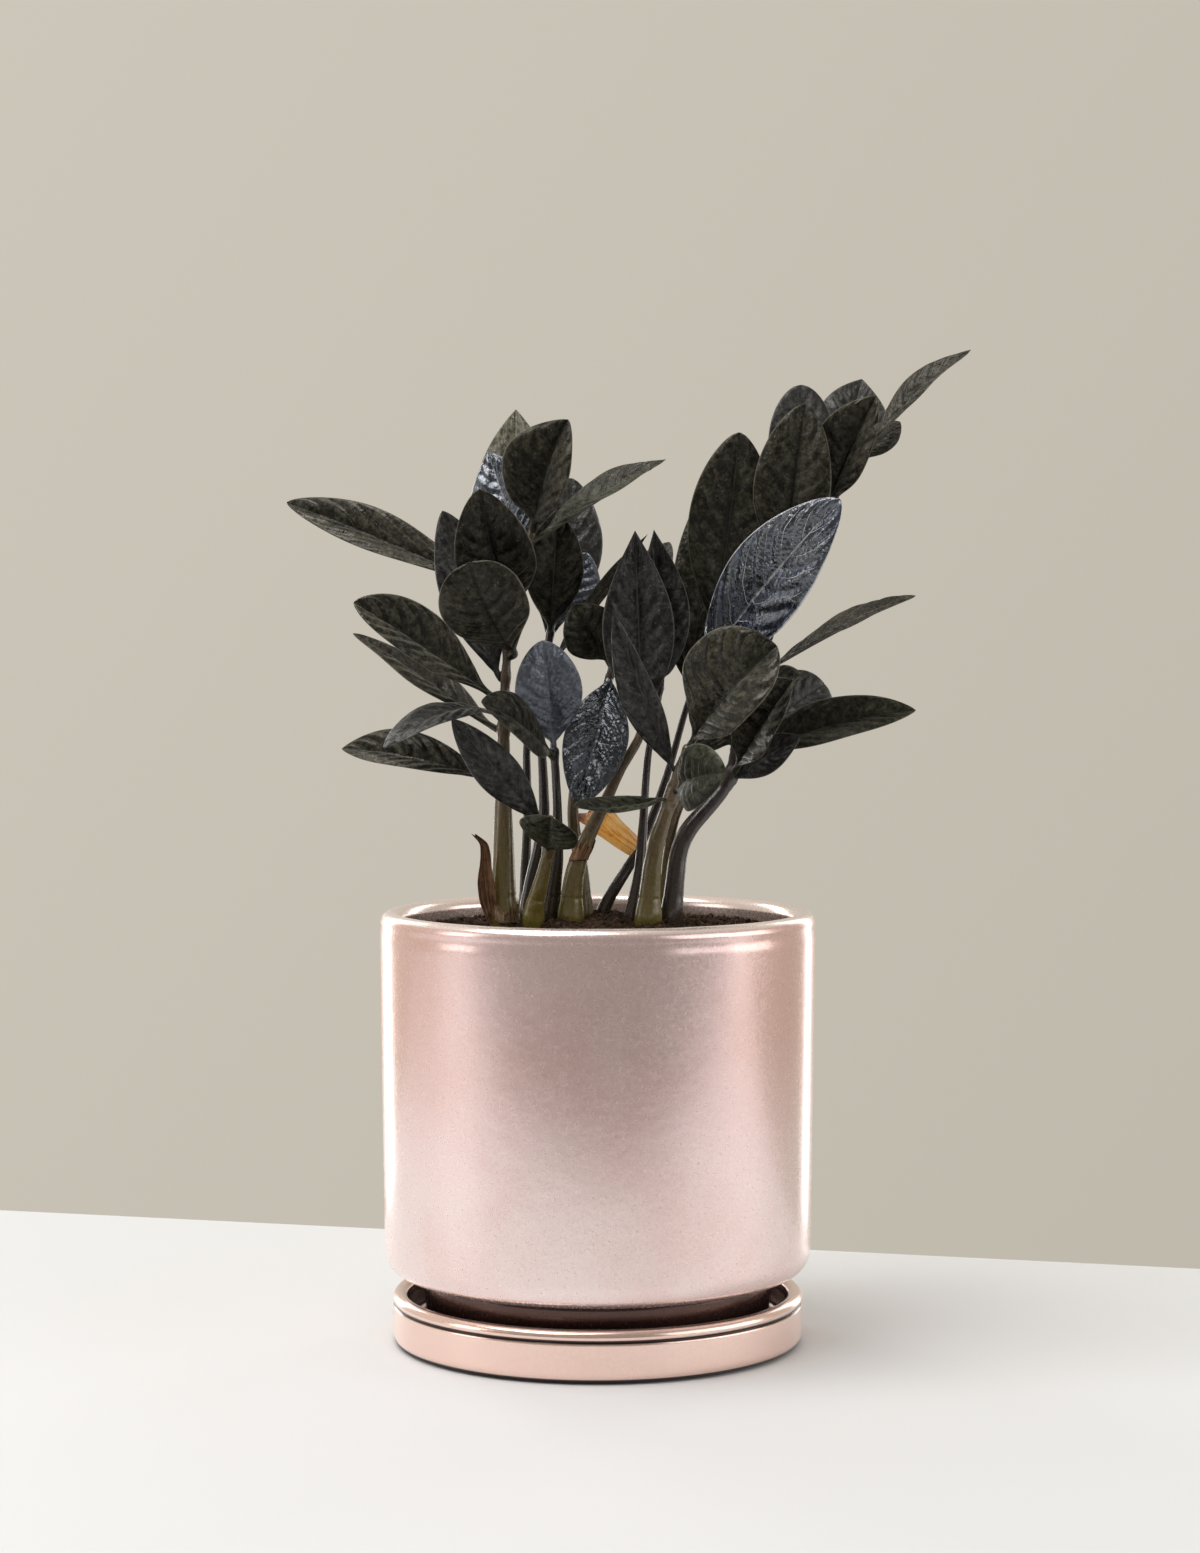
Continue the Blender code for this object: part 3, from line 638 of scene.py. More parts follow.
# %% [markdown]
# ## The leaf's surface
#
# A leaflet is folded along its midrib, each half swells a little, and its side veins press soft
# pleats into it. One closed grid holds all of that: rows run from the stalk to the tip, and
# columns go over the upper side from edge to edge and back under the lower side. Near the stalk
# the section is a small round, which is the leaf's own short stalk, and it flattens into the
# blade. Modelling by hand in Edit Mode would give one leaf; a formula gives all of them.

# %% Leaf surface
VEINS = 8.0
SWEEP, BOW = 0.24, 1.3
SHIFT = 0.3
LEAD = 0.12
SIDE_POINTS = 31
over = np.linspace(-1.0, 1.0, SIDE_POINTS)
across_blade = np.concatenate([over, over[::-1]])
face_of_blade = np.repeat([1.0, -1.0], SIDE_POINTS)


def leaf_outline(t, foot, point, widest):
    """Half width along the blade: a sine bent to be widest at a chosen place, raised to a power.

    The power goes from foot to point along the blade. A small power gives a blunt end, 1 a sharp one.
    """
    bent = np.clip((t - 0.05) / 0.95, 0.0, 1.0) ** (math.log(0.5) / math.log(widest))
    return np.sin(math.pi * bent) ** (foot + (point - foot) * smoothstep(0.3, 0.7, t))


def leaf_grid(m, joint, seed, shape, pleat):
    """The closed skin of one leaf, in metres, and its map: y goes from root to tip and x from edge to edge.

    On the upper side x goes from 0 to 1, and on the lower side from 2 to 3. There are VEINS pleats on
    each half. At the edge they reach SWEEP nearer to the tip, bowed by the power BOW, and one half has
    them SHIFT of a pleat nearer to the root. The blade starts at LEAD of the way, after the short stalk.
    """
    luck = np.random.default_rng(seed).uniform(-1.0, 1.0, 8)
    root, tip, side, up = m["root"], m["tip"], m["side"], m["up"]
    _, anchor, along = joint
    half, fold = m["half"], m["fold"]
    t = np.linspace(LEAD, 0.999, 78)[:, None]
    curve = 4.0 * m["arch"] * t * (1.0 - t) + (1.2 * luck[0] - 0.6) * smoothstep(0.55, 1.0, t) ** 2
    line = root + t * (tip - root) + up * curve + side * 0.05 * half * luck[1] * np.sin(math.pi * t)
    start = anchor - along * 1.6
    b = np.linspace(0.0, 1.0, 14, endpoint=False)[:, None]
    stalklet = (1 - b) ** 2 * start + 2 * b * (1 - b) * root + b ** 2 * line[0]
    line = np.vstack([stalklet, line])
    t = np.concatenate([-0.06 + (LEAD + 0.06) * b, t])
    run_along = unit(np.gradient(line, axis=0))
    turn = math.radians(7.0) * luck[2] * (t - 0.4)
    side_now = unit(side * np.cos(turn) + up * np.sin(turn) - run_along * (run_along @ side)[:, None])
    up_now = np.cross(side_now, run_along)
    up_now *= np.sign((up_now @ up).sum())
    v = across_blade[None]
    rib = np.clip(0.05 * 2 * half, 0.55, 1.2) * (1.0 - 0.75 * smoothstep(0.0, 0.5, t))
    wide = half * leaf_outline(t, *shape)
    flat = smoothstep(0.02, 0.2, t)
    reach = np.hypot(rib * (1.0 - flat), wide)
    lift = np.abs(v) * math.sin(fold) + 0.085 * np.sin(math.pi * np.abs(v)) - 0.05 * v ** 4
    wave = 0.045 * np.sin(2 * math.pi * ((1.6 + 0.5 * luck[3]) * t + luck[4] + 0.3 * np.sign(v))) * v ** 2
    phase = VEINS * (t - SWEEP * np.abs(v) ** BOW) + SHIFT * (v < 0)
    phase = phase + 0.25 * luck[5] * np.sin(5.0 * t + 2.0 * v)
    ends = smoothstep(0.08, 0.25, t) * (1.0 - smoothstep(0.85, 1.0, t))
    fade = (1.0 - v ** 8) * smoothstep(0.0, 0.2, np.abs(v)) * ends
    swells = np.sin(11.0 * t + 6.0 * v + 3.0 * luck[6]) + np.sin(17.0 * t - 9.0 * v + 5.0 * luck[7])
    relief = pleat * 2 * half * (np.sin(math.pi * (phase % 1.0) ** 0.6) ** 0.8 - 0.6) * fade
    relief = relief + 0.013 * half * swells * fade
    thick = np.where(face_of_blade > 0, 0.2, 0.28) * (1.0 - 0.8 * v ** 6) * face_of_blade
    vein = np.exp(-(v * wide / 0.6) ** 2) * np.where(face_of_blade > 0, -0.12, -0.5 * (1.0 - t))
    blade_z = wide * (lift + wave) + relief + thick * np.minimum(1.0, wide / 1.5)
    blade_z = blade_z + vein * np.minimum(1.0, wide / 3.0)
    round_z = rib * np.sqrt(1.0 - 0.985 * v ** 2) * face_of_blade
    x = v * reach * (1.0 - flat * (1.0 - math.cos(fold)))
    z = flat * blade_z + (1.0 - flat) * round_z
    grid = line[:, None] + side_now[:, None] * x[..., None] + up_now[:, None] * z[..., None]
    chart = np.stack([0.5 + 0.5 * v + (face_of_blade < 0) * 2.0 + 0.0 * t, t + 0.0 * v], -1)
    return grid * MM, chart


print("columns round a leaf:", len(across_blade))

# %% [markdown]
# ## The leaf's finish
#
# The leaves are waxy and almost black: olive brown with a fine mottle, a thin paler line at the
# edge and along the midrib, and faint side veins that break off here and there. The young ones at
# the top of a stalk are greener or greyer, and a few show a blue shine with bright veins. The
# undersides are paler and duller. One recipe makes them all: the mottle is noise in object space,
# and the lines come from the leaf's own map with the same vein formula that pleats the surface.
# Two things make it look like skin. A Voronoi net raises cells about a millimetre wide, which break
# up the shine, and a little sheen gives the pale bloom that wax shows when it is seen aslant.

# %% Leaf recipe
UNDERSIDE = np.array((0.070, 0.068, 0.054))


def vein_map(tree):
    """From the leaf's own map: 1 on the underside, the way out from the midrib, and the vein phase.

    The phase is that of the pleats, made to wander by noise. It is a whole number on each side vein.
    """
    chart = add(tree, "SeparateXYZ", {0: add(tree, "UVMap", uv_map="shape").outputs["UV"]}).outputs
    below = maths(tree, "GREATER_THAN", chart["X"], 1.5)
    across = minus(tree, chart["X"], times(tree, below, 2.0))
    out = maths(tree, "ABSOLUTE", minus(tree, times(tree, across, 2.0), 1.0))
    swept = times(tree, maths(tree, "POWER", out, BOW), SWEEP)
    phase = times(tree, minus(tree, chart["Y"], swept), VEINS)
    phase = plus(tree, phase, times(tree, maths(tree, "LESS_THAN", across, 0.5), SHIFT))
    return below, out, plus(tree, phase, times(tree, noise(tree, 60.0, 2.0), 0.9))


def leaf_finish(name, dark, light, line, shine, rough, veins=0.3, pleat_shade_depth=0.022, cells=0.14, rib=0.3,
                index=1.5, bloom=0.14, wax=(1.0, 0.94, 0.84)):
    """Waxy leaf: mottle between dark and light, lines for veins, midrib and edge, and a dull pale underside.

    Each strip between two side veins is painted lighter beside its vein and darker towards the next: painted
    light and shade of the tilted pleat, as strong as one argument sets.
    The skin is a net of cells over a millimetre wide. They are raised by cells, and some have a pale dot.
    """
    material, tree, shader = finish(
        name, Specular_IOR_Level=shine, Specular_Tint=(*wax, 1.0), IOR=index, Sheen_Weight=bloom,
        Sheen_Roughness=0.35, Sheen_Tint=(0.95, 0.93, 0.86, 1.0))
    below, out, phase = vein_map(tree)
    side_vein = times(tree, mask(tree, maths(tree, "PINGPONG", phase, 0.5), 0.024, 0.0),
                      mask(tree, out, 0.93, 0.6), patches(tree, 75.0, 2.0, 0.38, 0.6, 0.15, 1.0))
    # Painted light and shade of the pleats: lighter beside each side vein, darker towards the next.
    pleat_shade = times(tree, mask(tree, maths(tree, "FRACT", phase), 0.0, 0.9, pleat_shade_depth, -pleat_shade_depth),
                  mask(tree, out, 0.0, 0.25, 0.3, 1.0), patches(tree, 48.0, 2.0, 0.36, 0.6, 0.1, 1.0))
    midrib = times(tree, mask(tree, out, 0.030, 0.010), patches(tree, 110.0, 1.0, 0.4, 0.6, 0.5, 1.0))
    edge = times(tree, mask(tree, out, 0.965, 0.985), 0.6)
    place = add(tree, "TexCoord").outputs["Object"]
    net = add(tree, "TexVoronoi", {"Vector": place, "Scale": 720.0}).outputs["Distance"]
    fine, broad = noise(tree, 520.0, 5.0, 0.8), noise(tree, 62.0, 3.0)
    mottle = plus(tree, shared(tree, fine, broad, 0.72), pleat_shade)
    between = 0.66 * np.array(dark) + 0.34 * np.array(light)
    colour = ramp(tree, mottle, (0.44, dark), (0.51, between), (0.585, light))
    dots = times(tree, mask(tree, net, 0.24, 0.12), patches(tree, 260.0, 2.0, 0.5, 0.62), 0.55)
    colour = mixed(tree, dots, colour, line)
    dull = ramp(tree, fine, (0.35, 0.55 * UNDERSIDE), (0.65, 1.3 * UNDERSIDE))
    colour = mixed(tree, times(tree, below, 0.8), colour, dull)
    colour = mixed(tree, times(tree, mask(tree, out, 0.075, 0.02), 0.75), colour, dark)
    lines = maths(tree, "MAXIMUM", times(tree, side_vein, veins), times(tree, midrib, rib))
    colour = mixed(tree, maths(tree, "MAXIMUM", lines, edge), colour, line)
    dulled = patches(tree, 90.0, 4.0, 0.35, 0.65, rough - 0.10, rough + 0.14)
    dulled = plus(tree, dulled, times(tree, below, 0.2))
    grain = plus(tree, times(tree, noise(tree, 700.0, 4.0), 0.25), noise(tree, 120.0, 2.0))
    grain = minus(tree, minus(tree, grain, times(tree, net, cells)), times(tree, side_vein, 0.3))
    dress(tree, shader, colour, grain, 0.0014, 0.6, dulled)
    return material


print("leaf recipe ready")

# %% [markdown]
# Nine finishes come from the recipe. Each names its dark and light tones and the tone of its
# lines, then how strong and how rough its shine is. Leaves of one plant could share one finish,
# but on the real plant an old leaf, a new one and one that catches the light look quite unlike.
# The two lightest finishes are lit copies, whose light tones are partly painted light.

# %% Leaf finishes
PALE_LINE = (0.16, 0.15, 0.12)
GLOSS = {"bloom": 0.0, "wax": (0.86, 0.92, 1.0)}
LEAF_FINISHES = {
    "olive": leaf_finish("leaf_olive", (0.0022, 0.0023, 0.0014), (0.052, 0.050, 0.033), PALE_LINE,
                         0.30, 0.38),
    "brown": leaf_finish("leaf_brown", (0.0025, 0.0024, 0.0014), (0.051, 0.047, 0.032), PALE_LINE,
                         0.30, 0.38, rib=0.0),
    "pleated": leaf_finish("leaf_pleated", (0.0022, 0.0025, 0.0014), (0.074, 0.070, 0.049), PALE_LINE,
                           0.42, 0.34, pleat_shade_depth=0.055, rib=0.0, bloom=0.42),
    "slate": leaf_finish("leaf_slate", (0.0025, 0.0027, 0.0030), (0.056, 0.057, 0.057), (0.18, 0.18, 0.165),
                         0.42, 0.36, pleat_shade_depth=0.035, wax=(1.0, 0.98, 0.94)),
    "green": leaf_finish("leaf_green", (0.003, 0.004, 0.002), (0.054, 0.058, 0.034), (0.16, 0.16, 0.12),
                         0.32, 0.45),
    # A lighter, greener finish for the leaf at the back of the crown: its light tones are partly painted
    # light from above.
    "moss_painted_light": leaf_finish("leaf_moss_painted_light", (0.012, 0.013, 0.006), (0.14, 0.14, 0.095), (0.60, 0.58, 0.50),
                        0.45, 0.42, veins=0.2, rib=1.0),
    "blue": leaf_finish("leaf_blue", (0.0012, 0.0020, 0.0066), (0.024, 0.034, 0.070), (0.95, 0.98, 1.0),
                        1.0, 0.19, veins=1.0, pleat_shade_depth=0.06, cells=0.24, index=1.75, **GLOSS),
    "ink": leaf_finish("leaf_ink", (0.0012, 0.0016, 0.003), (0.018, 0.022, 0.035), (0.16, 0.18, 0.22),
                       0.9, 0.20, veins=0.25, pleat_shade_depth=0.03, cells=0.35, index=1.6, **GLOSS),
    # A lighter copy of the blue finish for two leaves in the middle: its light tones are partly painted
    # light.
    "dusk_painted_light": leaf_finish("leaf_dusk_painted_light", (0.045, 0.054, 0.078), (0.17, 0.19, 0.235), (0.26, 0.28, 0.33),
                        0.9, 0.28, veins=0.4, pleat_shade_depth=0.03, cells=0.3, rib=0.4, index=1.6, **GLOSS),
}
print("leaf finishes:", sorted(LEAF_FINISHES))

# %% [markdown]
# Most leaves are plain olive black, and egg-shaped. The tables below name the ones that differ.
# The first gives another finish. The second gives another outline: how blunt the foot and the tip
# are, and where the blade is widest. The third turns a few blades about their own length, creases
# them more, both in degrees, and makes them wider or narrower, because the coarse CAD blades
# leave that open. Each leaf gets its own seed from its place in the list, so that it bends and
# ripples in its own way but always in the same way.

# %% Grow the leaves
LEAF_LOOKS = {
    "brown": "crown_front left_facing left_round right_tall centre_brown right_narrow right_high",
    "pleated": "left_top_far left_middle thick_broad right_pale left_low",
    "slate": "front_dark leaning_tall purple_tall thick_tall right_square left_upright left_arching"
             " back_high right_high_back right_tall_back centre_back right_edge_on",
    "green": "thick_narrow front_small right_long crown_right thick_curled",
    "moss_painted_light": "crown_back",
    "blue": "slim_glossy crown_bright",
    "ink": "centre_hanging",
    "dusk_painted_light": "inner_round back_blue",
}
EGG = (0.85, 0.75, 0.5)
LEAF_OUTLINES = {
    "left_round": (0.75, 0.38, 0.66), "left_facing": (0.75, 0.62, 0.5), "left_top_far": (0.9, 0.72, 0.6),
    "left_middle": (0.9, 0.62, 0.58), "left_low": (0.85, 0.8, 0.55), "crown_back": (0.85, 0.95, 0.5),
    "crown_bright": (0.85, 0.95, 0.5), "crown_front": (0.8, 0.75, 0.5), "crown_right": (0.85, 1.0, 0.5),
    "back_high": (0.8, 0.6, 0.55), "back_narrow": (0.85, 1.0, 0.5), "inner_round": (0.7, 0.6, 0.52),
    "front_small": (0.5, 0.5, 0.5), "centre_hanging": (0.8, 0.7, 0.5), "leaning_tall": (0.75, 1.0, 0.42),
    "slim_front": (0.8, 0.62, 0.55), "slim_glossy": (0.7, 0.62, 0.5), "purple_tall": (0.75, 1.05, 0.42),
    "thick_broad": (0.8, 0.5, 0.62), "thick_curled": (0.8, 0.55, 0.55), "thick_tall": (0.85, 1.0, 0.45),
    "right_tall": (0.8, 0.62, 0.52), "right_tall_back": (0.85, 0.55, 0.6), "right_pale": (0.8, 0.7, 0.6),
    "right_high_back": (0.85, 0.9, 0.5), "right_square": (0.7, 0.42, 0.62), "right_end": (0.85, 0.9, 0.5),
    "right_narrow": (0.85, 0.8, 0.55),
}
LEFT, FRONT = np.array((-1.0, 0.0, 0.0)), np.array((0.0, -1.0, 0.0))
LEAF_TURNS = {
    "left_facing": (LEFT, 8, 6, 1.0), "left_top_far": (FRONT, 14, 10, 0.8),
    "left_middle": (FRONT, 10, 8, 0.95), "left_low": (FRONT, 8, 6, 0.9),
    "crown_front": (LEFT, 16, 8, 1.0), "crown_bright": (LEFT, 25, 0, 1.0),
    "centre_hanging": (LEFT, 0, 2, 1.05), "leaning_tall": (LEFT, 0, -6, 1.15),
    "slim_glossy": (LEFT, 7, 2, 0.88), "purple_tall": (LEFT, 10, 4, 1.0),
    "thick_broad": (LEFT, 0, 8, 0.92), "thick_narrow": (FRONT, 14, 0, 1.0),
    "right_tall": (LEFT, 8, 2, 1.0), "right_tall_back": (LEFT, 0, 0, 1.15), "right_pale": (LEFT, 14, 10, 1.0),
    "right_high": (LEFT, 14, 6, 1.05), "right_long": (FRONT, 8, 4, 0.95),
}
PLEAT, DEEP_PLEAT = 0.030, 0.046


def turned(m, toward, angle, crease, width):
    """Measures of a leaf turned about its own length towards a direction, creased more and made wider."""
    side, up = m["side"], m["up"]
    sign = np.sign(side @ toward)
    angle = math.radians(angle)
    return dict(m, side=side * math.cos(angle) - up * sign * math.sin(angle),
                up=up * math.cos(angle) + side * sign * math.sin(angle),
                half=m["half"] * width, fold=m["fold"] + math.radians(crease))


look_of = {leaf: look for look, leaves in LEAF_LOOKS.items() for leaf in leaves.split()}
for number, (name, m) in enumerate(blades.items()):
    leaf = name.removeprefix("leaf_")
    look = look_of.get(leaf, "olive")
    if leaf in LEAF_TURNS:
        m = turned(m, *LEAF_TURNS[leaf])
    pleat = DEEP_PLEAT if look in ("pleated", "blue", "ink") else PLEAT
    grid, chart = leaf_grid(m, joints[name], 40 + number, LEAF_OUTLINES.get(leaf, EGG), pleat)
    mesh = surface("leaflet_" + leaf, grid, round_columns=True, caps=True, uv=chart)
    piece(mesh, LEAF_FINISHES[look], "leaf_black", *([name] if name in nodes else []))
print("leaves grown:", len(blades))

# %% [markdown]
# ## Stalks
#
# A ZZ stalk is a smooth, fleshy rod, thick at the soil, that thins upwards. It swells a little
# wherever a leaf leaves it and has a fine ring there. The middle line read from the frame is
# smoothed by a running mean, and rings of points are set square to it. The thick stalks go from
# olive green at the soil to grey brown, and the thin ones are purple black with pale flecks.

# %% Stalk finishes and surfaces
def stalk_finish(name, foot, middle, top, fleck, rough):
    """Fleshy stalk: three tones by height, long flecks along it and a satin skin."""
    material, tree, shader = finish(name, Specular_IOR_Level=0.7, Coat_Weight=0.28, Coat_Roughness=0.18)
    height = add(tree, "SeparateXYZ", {0: add(tree, "TexCoord").outputs["Object"]}).outputs["Z"]
    wander = times(tree, minus(tree, noise(tree, 120.0, 3.0, stretch=(1, 1, 0.3)), 0.5), 0.03)
    rise = add(tree, "MapRange", {"Value": plus(tree, height, wander), "From Min": 0.124, "From Max": 0.215})
    colour = ramp(tree, rise.outputs["Result"], (0.0, foot), (0.4, middle), (1.0, top))
    streak = patches(tree, 1500.0, 3.0, 0.45, 0.75, stretch=(1, 1, 0.18))
    colour = mixed(tree, times(tree, streak, 0.32), colour, fleck)
    dark = patches(tree, 500.0, 4.0, 0.62, 0.8, roughness=0.7, stretch=(1, 1, 0.5))
    colour = mixed(tree, times(tree, dark, 0.6), colour, (0.02, 0.015, 0.012))
    dulled = patches(tree, 300.0, 3.0, 0.3, 0.7, rough - 0.08, rough + 0.1)
    grain = plus(tree, noise(tree, 900.0, 3.0, 0.6, (1, 1, 0.12)), noise(tree, 250.0, 2.0))
    dress(tree, shader, colour, grain, 0.0002, 0.35, dulled)
    return material


STALK_FINISHES = {
    "stem_green": stalk_finish("stalk_green", foot=(0.155, 0.125, 0.020), middle=(0.110, 0.074, 0.036),
                               top=(0.048, 0.032, 0.022), fleck=(0.30, 0.23, 0.14), rough=0.26),
    "stem_dark": stalk_finish("stalk_dark", foot=(0.040, 0.028, 0.018), middle=(0.018, 0.012, 0.013),
                              top=(0.020, 0.012, 0.013), fleck=(0.10, 0.078, 0.074), rough=0.25),
}


def stalk_grid(middle, radius, leaves, rows=170, columns=28):
    """Rings of points square to a smoothed middle line, swollen where leaves leave it.

    The middle line is eased by a bell of seven points and read off at even steps. The radius gets a
    bump and a fine groove at each leaf and once above the soil, and shrinks to a dome at the top. Two
    slow waves round the ring keep it from being a perfect circle.
    """
    kernel = np.hanning(9)[1:-1] / np.hanning(9).sum()
    padded = np.vstack([np.repeat(middle[:1], 3, 0) + np.outer([-3, -2, -1], middle[1] - middle[0]), middle,
                        np.repeat(middle[-1:], 3, 0) + np.outer([1, 2, 3], middle[-1] - middle[-2])])
    eased = np.stack([np.convolve(padded[:, k], kernel, "valid") for k in range(3)], -1)
    length = np.append(0.0, np.cumsum(np.linalg.norm(np.diff(eased, axis=0), axis=1)))
    s = np.linspace(0.0, length[-1], rows)
    line = followed(s, length, eased)
    thick = np.interp(s, length, radius)
    thick = np.convolve(np.pad(thick, 6, "edge"), np.ones(13) / 13, "valid")
    z = line[:, 2:]
    swell = 0.24 * np.exp(-((z - leaves) / 1.9) ** 2) - 0.05 * np.exp(-((z - leaves + 3.2) / 0.45) ** 2)
    thick = thick[:, None] * (1.0 + np.clip(swell.sum(1, keepdims=True), -0.08, 0.3))
    thick *= 1.0 + 0.10 * np.exp(-((z - 128.0) / 4.0) ** 2) - 0.04 * np.exp(-((z - 133.5) / 0.5) ** 2)
    left = np.clip((s[-1] - s)[:, None] / np.maximum(thick, 0.3), 0.0, 1.0)
    thick = thick * np.sqrt(np.clip(1.0 - (1.0 - left) ** 2, 0.02, 1.0))
    angle = np.linspace(0.0, 2.0 * math.pi, columns, endpoint=False)
    skin = 1.0 + 0.035 * np.sin(2 * angle + 0.05 * s[:, None]) + 0.02 * np.sin(5 * angle - 0.11 * s[:, None])
    along = unit(np.gradient(line, axis=0))
    first = unit(np.cross(along, (0.0, 1.0, 0.0)))
    second = np.cross(along, first)
    ring = first[:, None] * np.cos(angle)[:, None] + second[:, None] * np.sin(angle)[:, None]
    return (line[:, None] + ring * (thick * skin)[..., None]) * MM


slot_of = {part["node"]: part["material_slot"] for part in frame["record"]["subparts"]}
for name, (middle, radius) in stalks.items():
    leaves = np.array([joint[1][2] for joint in joints.values() if joint[0] == name] or [999.0])
    slot = slot_of.get(name, "stem_dark")
    skin = stalk_grid(middle, radius, leaves)
    mesh = surface(name.replace("stem_", "stalk_"), skin, round_columns=True, caps=True)
    piece(mesh, STALK_FINISHES[slot], slot, *([name] if name in nodes else []))
print("stalks grown:", len(stalks))

# %% [markdown]
# ## Soil
#
# The peat is dark, moist and crumbly. It fills the pot down to its floor. Its bed is a grid of
# angle and distance from the axis, like the pot's, with hills from a sum of many small waves.
# A displacement modifier would raise hills too, but the crumbs have to know how high they lie.

# %% Soil bed
SOIL_EDGE = 123.0
MOUND = 43.0
WAVES = 44
waves = np.random.default_rng(7)
wave_way = waves.uniform(0.0, 2.0 * math.pi, WAVES)
wave_long = waves.uniform(2.2, 15.0, WAVES)
wave_start = waves.uniform(0.0, 2.0 * math.pi, WAVES)


def soil_hills(x, y):
    """Hills in millimetres: small waves in many directions, added up. The longer ones are the higher ones."""
    way = np.stack([np.cos(wave_way), np.sin(wave_way)]) * 2.0 * math.pi / wave_long
    turn = x[..., None] * way[0] + y[..., None] * way[1] + wave_start
    return (np.sin(turn) * np.minimum(wave_long, 6.0) * 0.020).sum(-1)


def soil_level(x, y):
    """The soil's height in millimetres: a low mound round the plant, with hills."""
    r = np.hypot(x, y)
    mound = np.where(r < MOUND, 2.25 * (1.0 + np.cos(math.pi * np.minimum(r, MOUND) / MOUND)), 0.0)
    return SOIL_EDGE + mound + soil_hills(x, y) * (1.0 - smoothstep(52.0, 58.0, r) * 0.6)


angle = np.linspace(0.0, 2.0 * math.pi, 260, endpoint=False)
reach = np.linspace(58.0, 0.6, 110)[:, None]
x, y = reach * np.cos(angle), reach * np.sin(angle)
bed_top = np.stack([x, y, soil_level(x, y)], -1)
wall_r = np.array([2.0, 20.0, 40.0, 44.5, 44.7, 48.0, 53.0, 56.4, 56.9, 57.4, 57.9])[:, None]
wall_z = np.array([12.9, 12.9, 12.9, 17.0, 26.5, 27.8, 28.3, 34.0, 60.0, 95.0, 121.5])[:, None]
bed_wall = np.stack([wall_r * np.cos(angle), wall_r * np.sin(angle), wall_z + 0.0 * angle], -1)


def soil_finish(name, dark, mid, pale):
    """Moist peat: three tones in clouds of several sizes, rough, with a strong fine bump."""
    material, tree, shader = finish(name, Roughness=0.9, Specular_IOR_Level=0.3)
    tone = shared(tree, noise(tree, 650.0, 6.0, 0.75), noise(tree, 140.0, 3.0), 0.7)
    colour = ramp(tree, tone, (0.36, dark), (0.5, mid), (0.66, pale))
    dress(tree, shader, colour, noise(tree, 1100.0, 6.0, 0.8), 0.0012, 0.8)
    return material


peat = soil_finish("peat", (0.005, 0.0025, 0.0015), (0.052, 0.028, 0.016), (0.19, 0.108, 0.064))
mesh = surface("soil_bed", np.vstack([bed_wall, bed_top]) * MM, round_columns=True, caps=True)
piece(mesh, peat, "soil", "soil")
print("soil from", round(float(bed_top[..., 2].min()), 1), "to", round(float(bed_top[..., 2].max()), 1), "mm")

# %% [markdown]
# Loose crumbs and bark chips lie on the bed, each a rough lump of twenty faces, and thin pale
# fibres among them. Particles would scatter them too, but arrays keep every lump in one plain
# mesh and put it in the same place each time.

# %% Crumbs and fibres
lump = bmesh.new()
bmesh.ops.create_icosphere(lump, subdivisions=1, radius=1.0)
lump_points = np.array([v.co for v in lump.verts])
lump_faces = np.array([[v.index for v in face.verts] for face in lump.faces])
lump.free()


def turns(rng, count):
    """Random rotations, from random unit quaternions."""
    q = unit(rng.normal(size=(count, 4)))
    w, x, y, z = q.T
    return np.stack([1 - 2 * (y * y + z * z), 2 * (x * y - w * z), 2 * (x * z + w * y),
                     2 * (x * y + w * z), 1 - 2 * (x * x + z * z), 2 * (y * z - w * x),
                     2 * (x * z - w * y), 2 * (y * z + w * x), 1 - 2 * (x * x + y * y)], -1).reshape(-1, 3, 3)


def strewn(rng, count, reach):
    """Places strewn evenly over a disc."""
    r, a = reach * np.sqrt(rng.uniform(0, 1, count)), rng.uniform(0, 2 * math.pi, count)
    return r * np.cos(a), r * np.sin(a)


def crumbs(name, count, small, large, seed):
    """Rough lumps on the soil: one ball of twenty faces, stretched, dented and turned for each."""
    rng = np.random.default_rng(seed)
    x, y = strewn(rng, count, 57.0)
    size = small * (large / small) ** (rng.uniform(0, 1, count) ** 2.2)
    place = np.stack([x, y, soil_level(x, y) + 0.35 * size], -1)
    shape = rng.uniform(0.5, 1.2, (count, 1, 3)) * rng.uniform(0.72, 1.15, (count, len(lump_points), 1))
    points = np.einsum("nij,npj->npi", turns(rng, count), lump_points * shape) * size[:, None, None]
    points = points + place[:, None]
    faces = lump_faces[None] + np.arange(count)[:, None, None] * len(lump_points)
    mesh = mesh_of(name, points.reshape(-1, 3) * MM, faces.ravel(), np.full(count * len(lump_faces), 3))
    mesh.polygons.foreach_set("use_smooth", np.zeros(len(mesh.polygons), bool))
    return mesh


bark = soil_finish("bark_chips", (0.014, 0.007, 0.004), (0.085, 0.045, 0.025), (0.26, 0.16, 0.095))
piece(crumbs("soil_crumbs", 6800, 0.22, 1.0, 3), peat, "soil")
piece(crumbs("bark_chips", 1400, 0.22, 0.95, 4), bark, "soil")


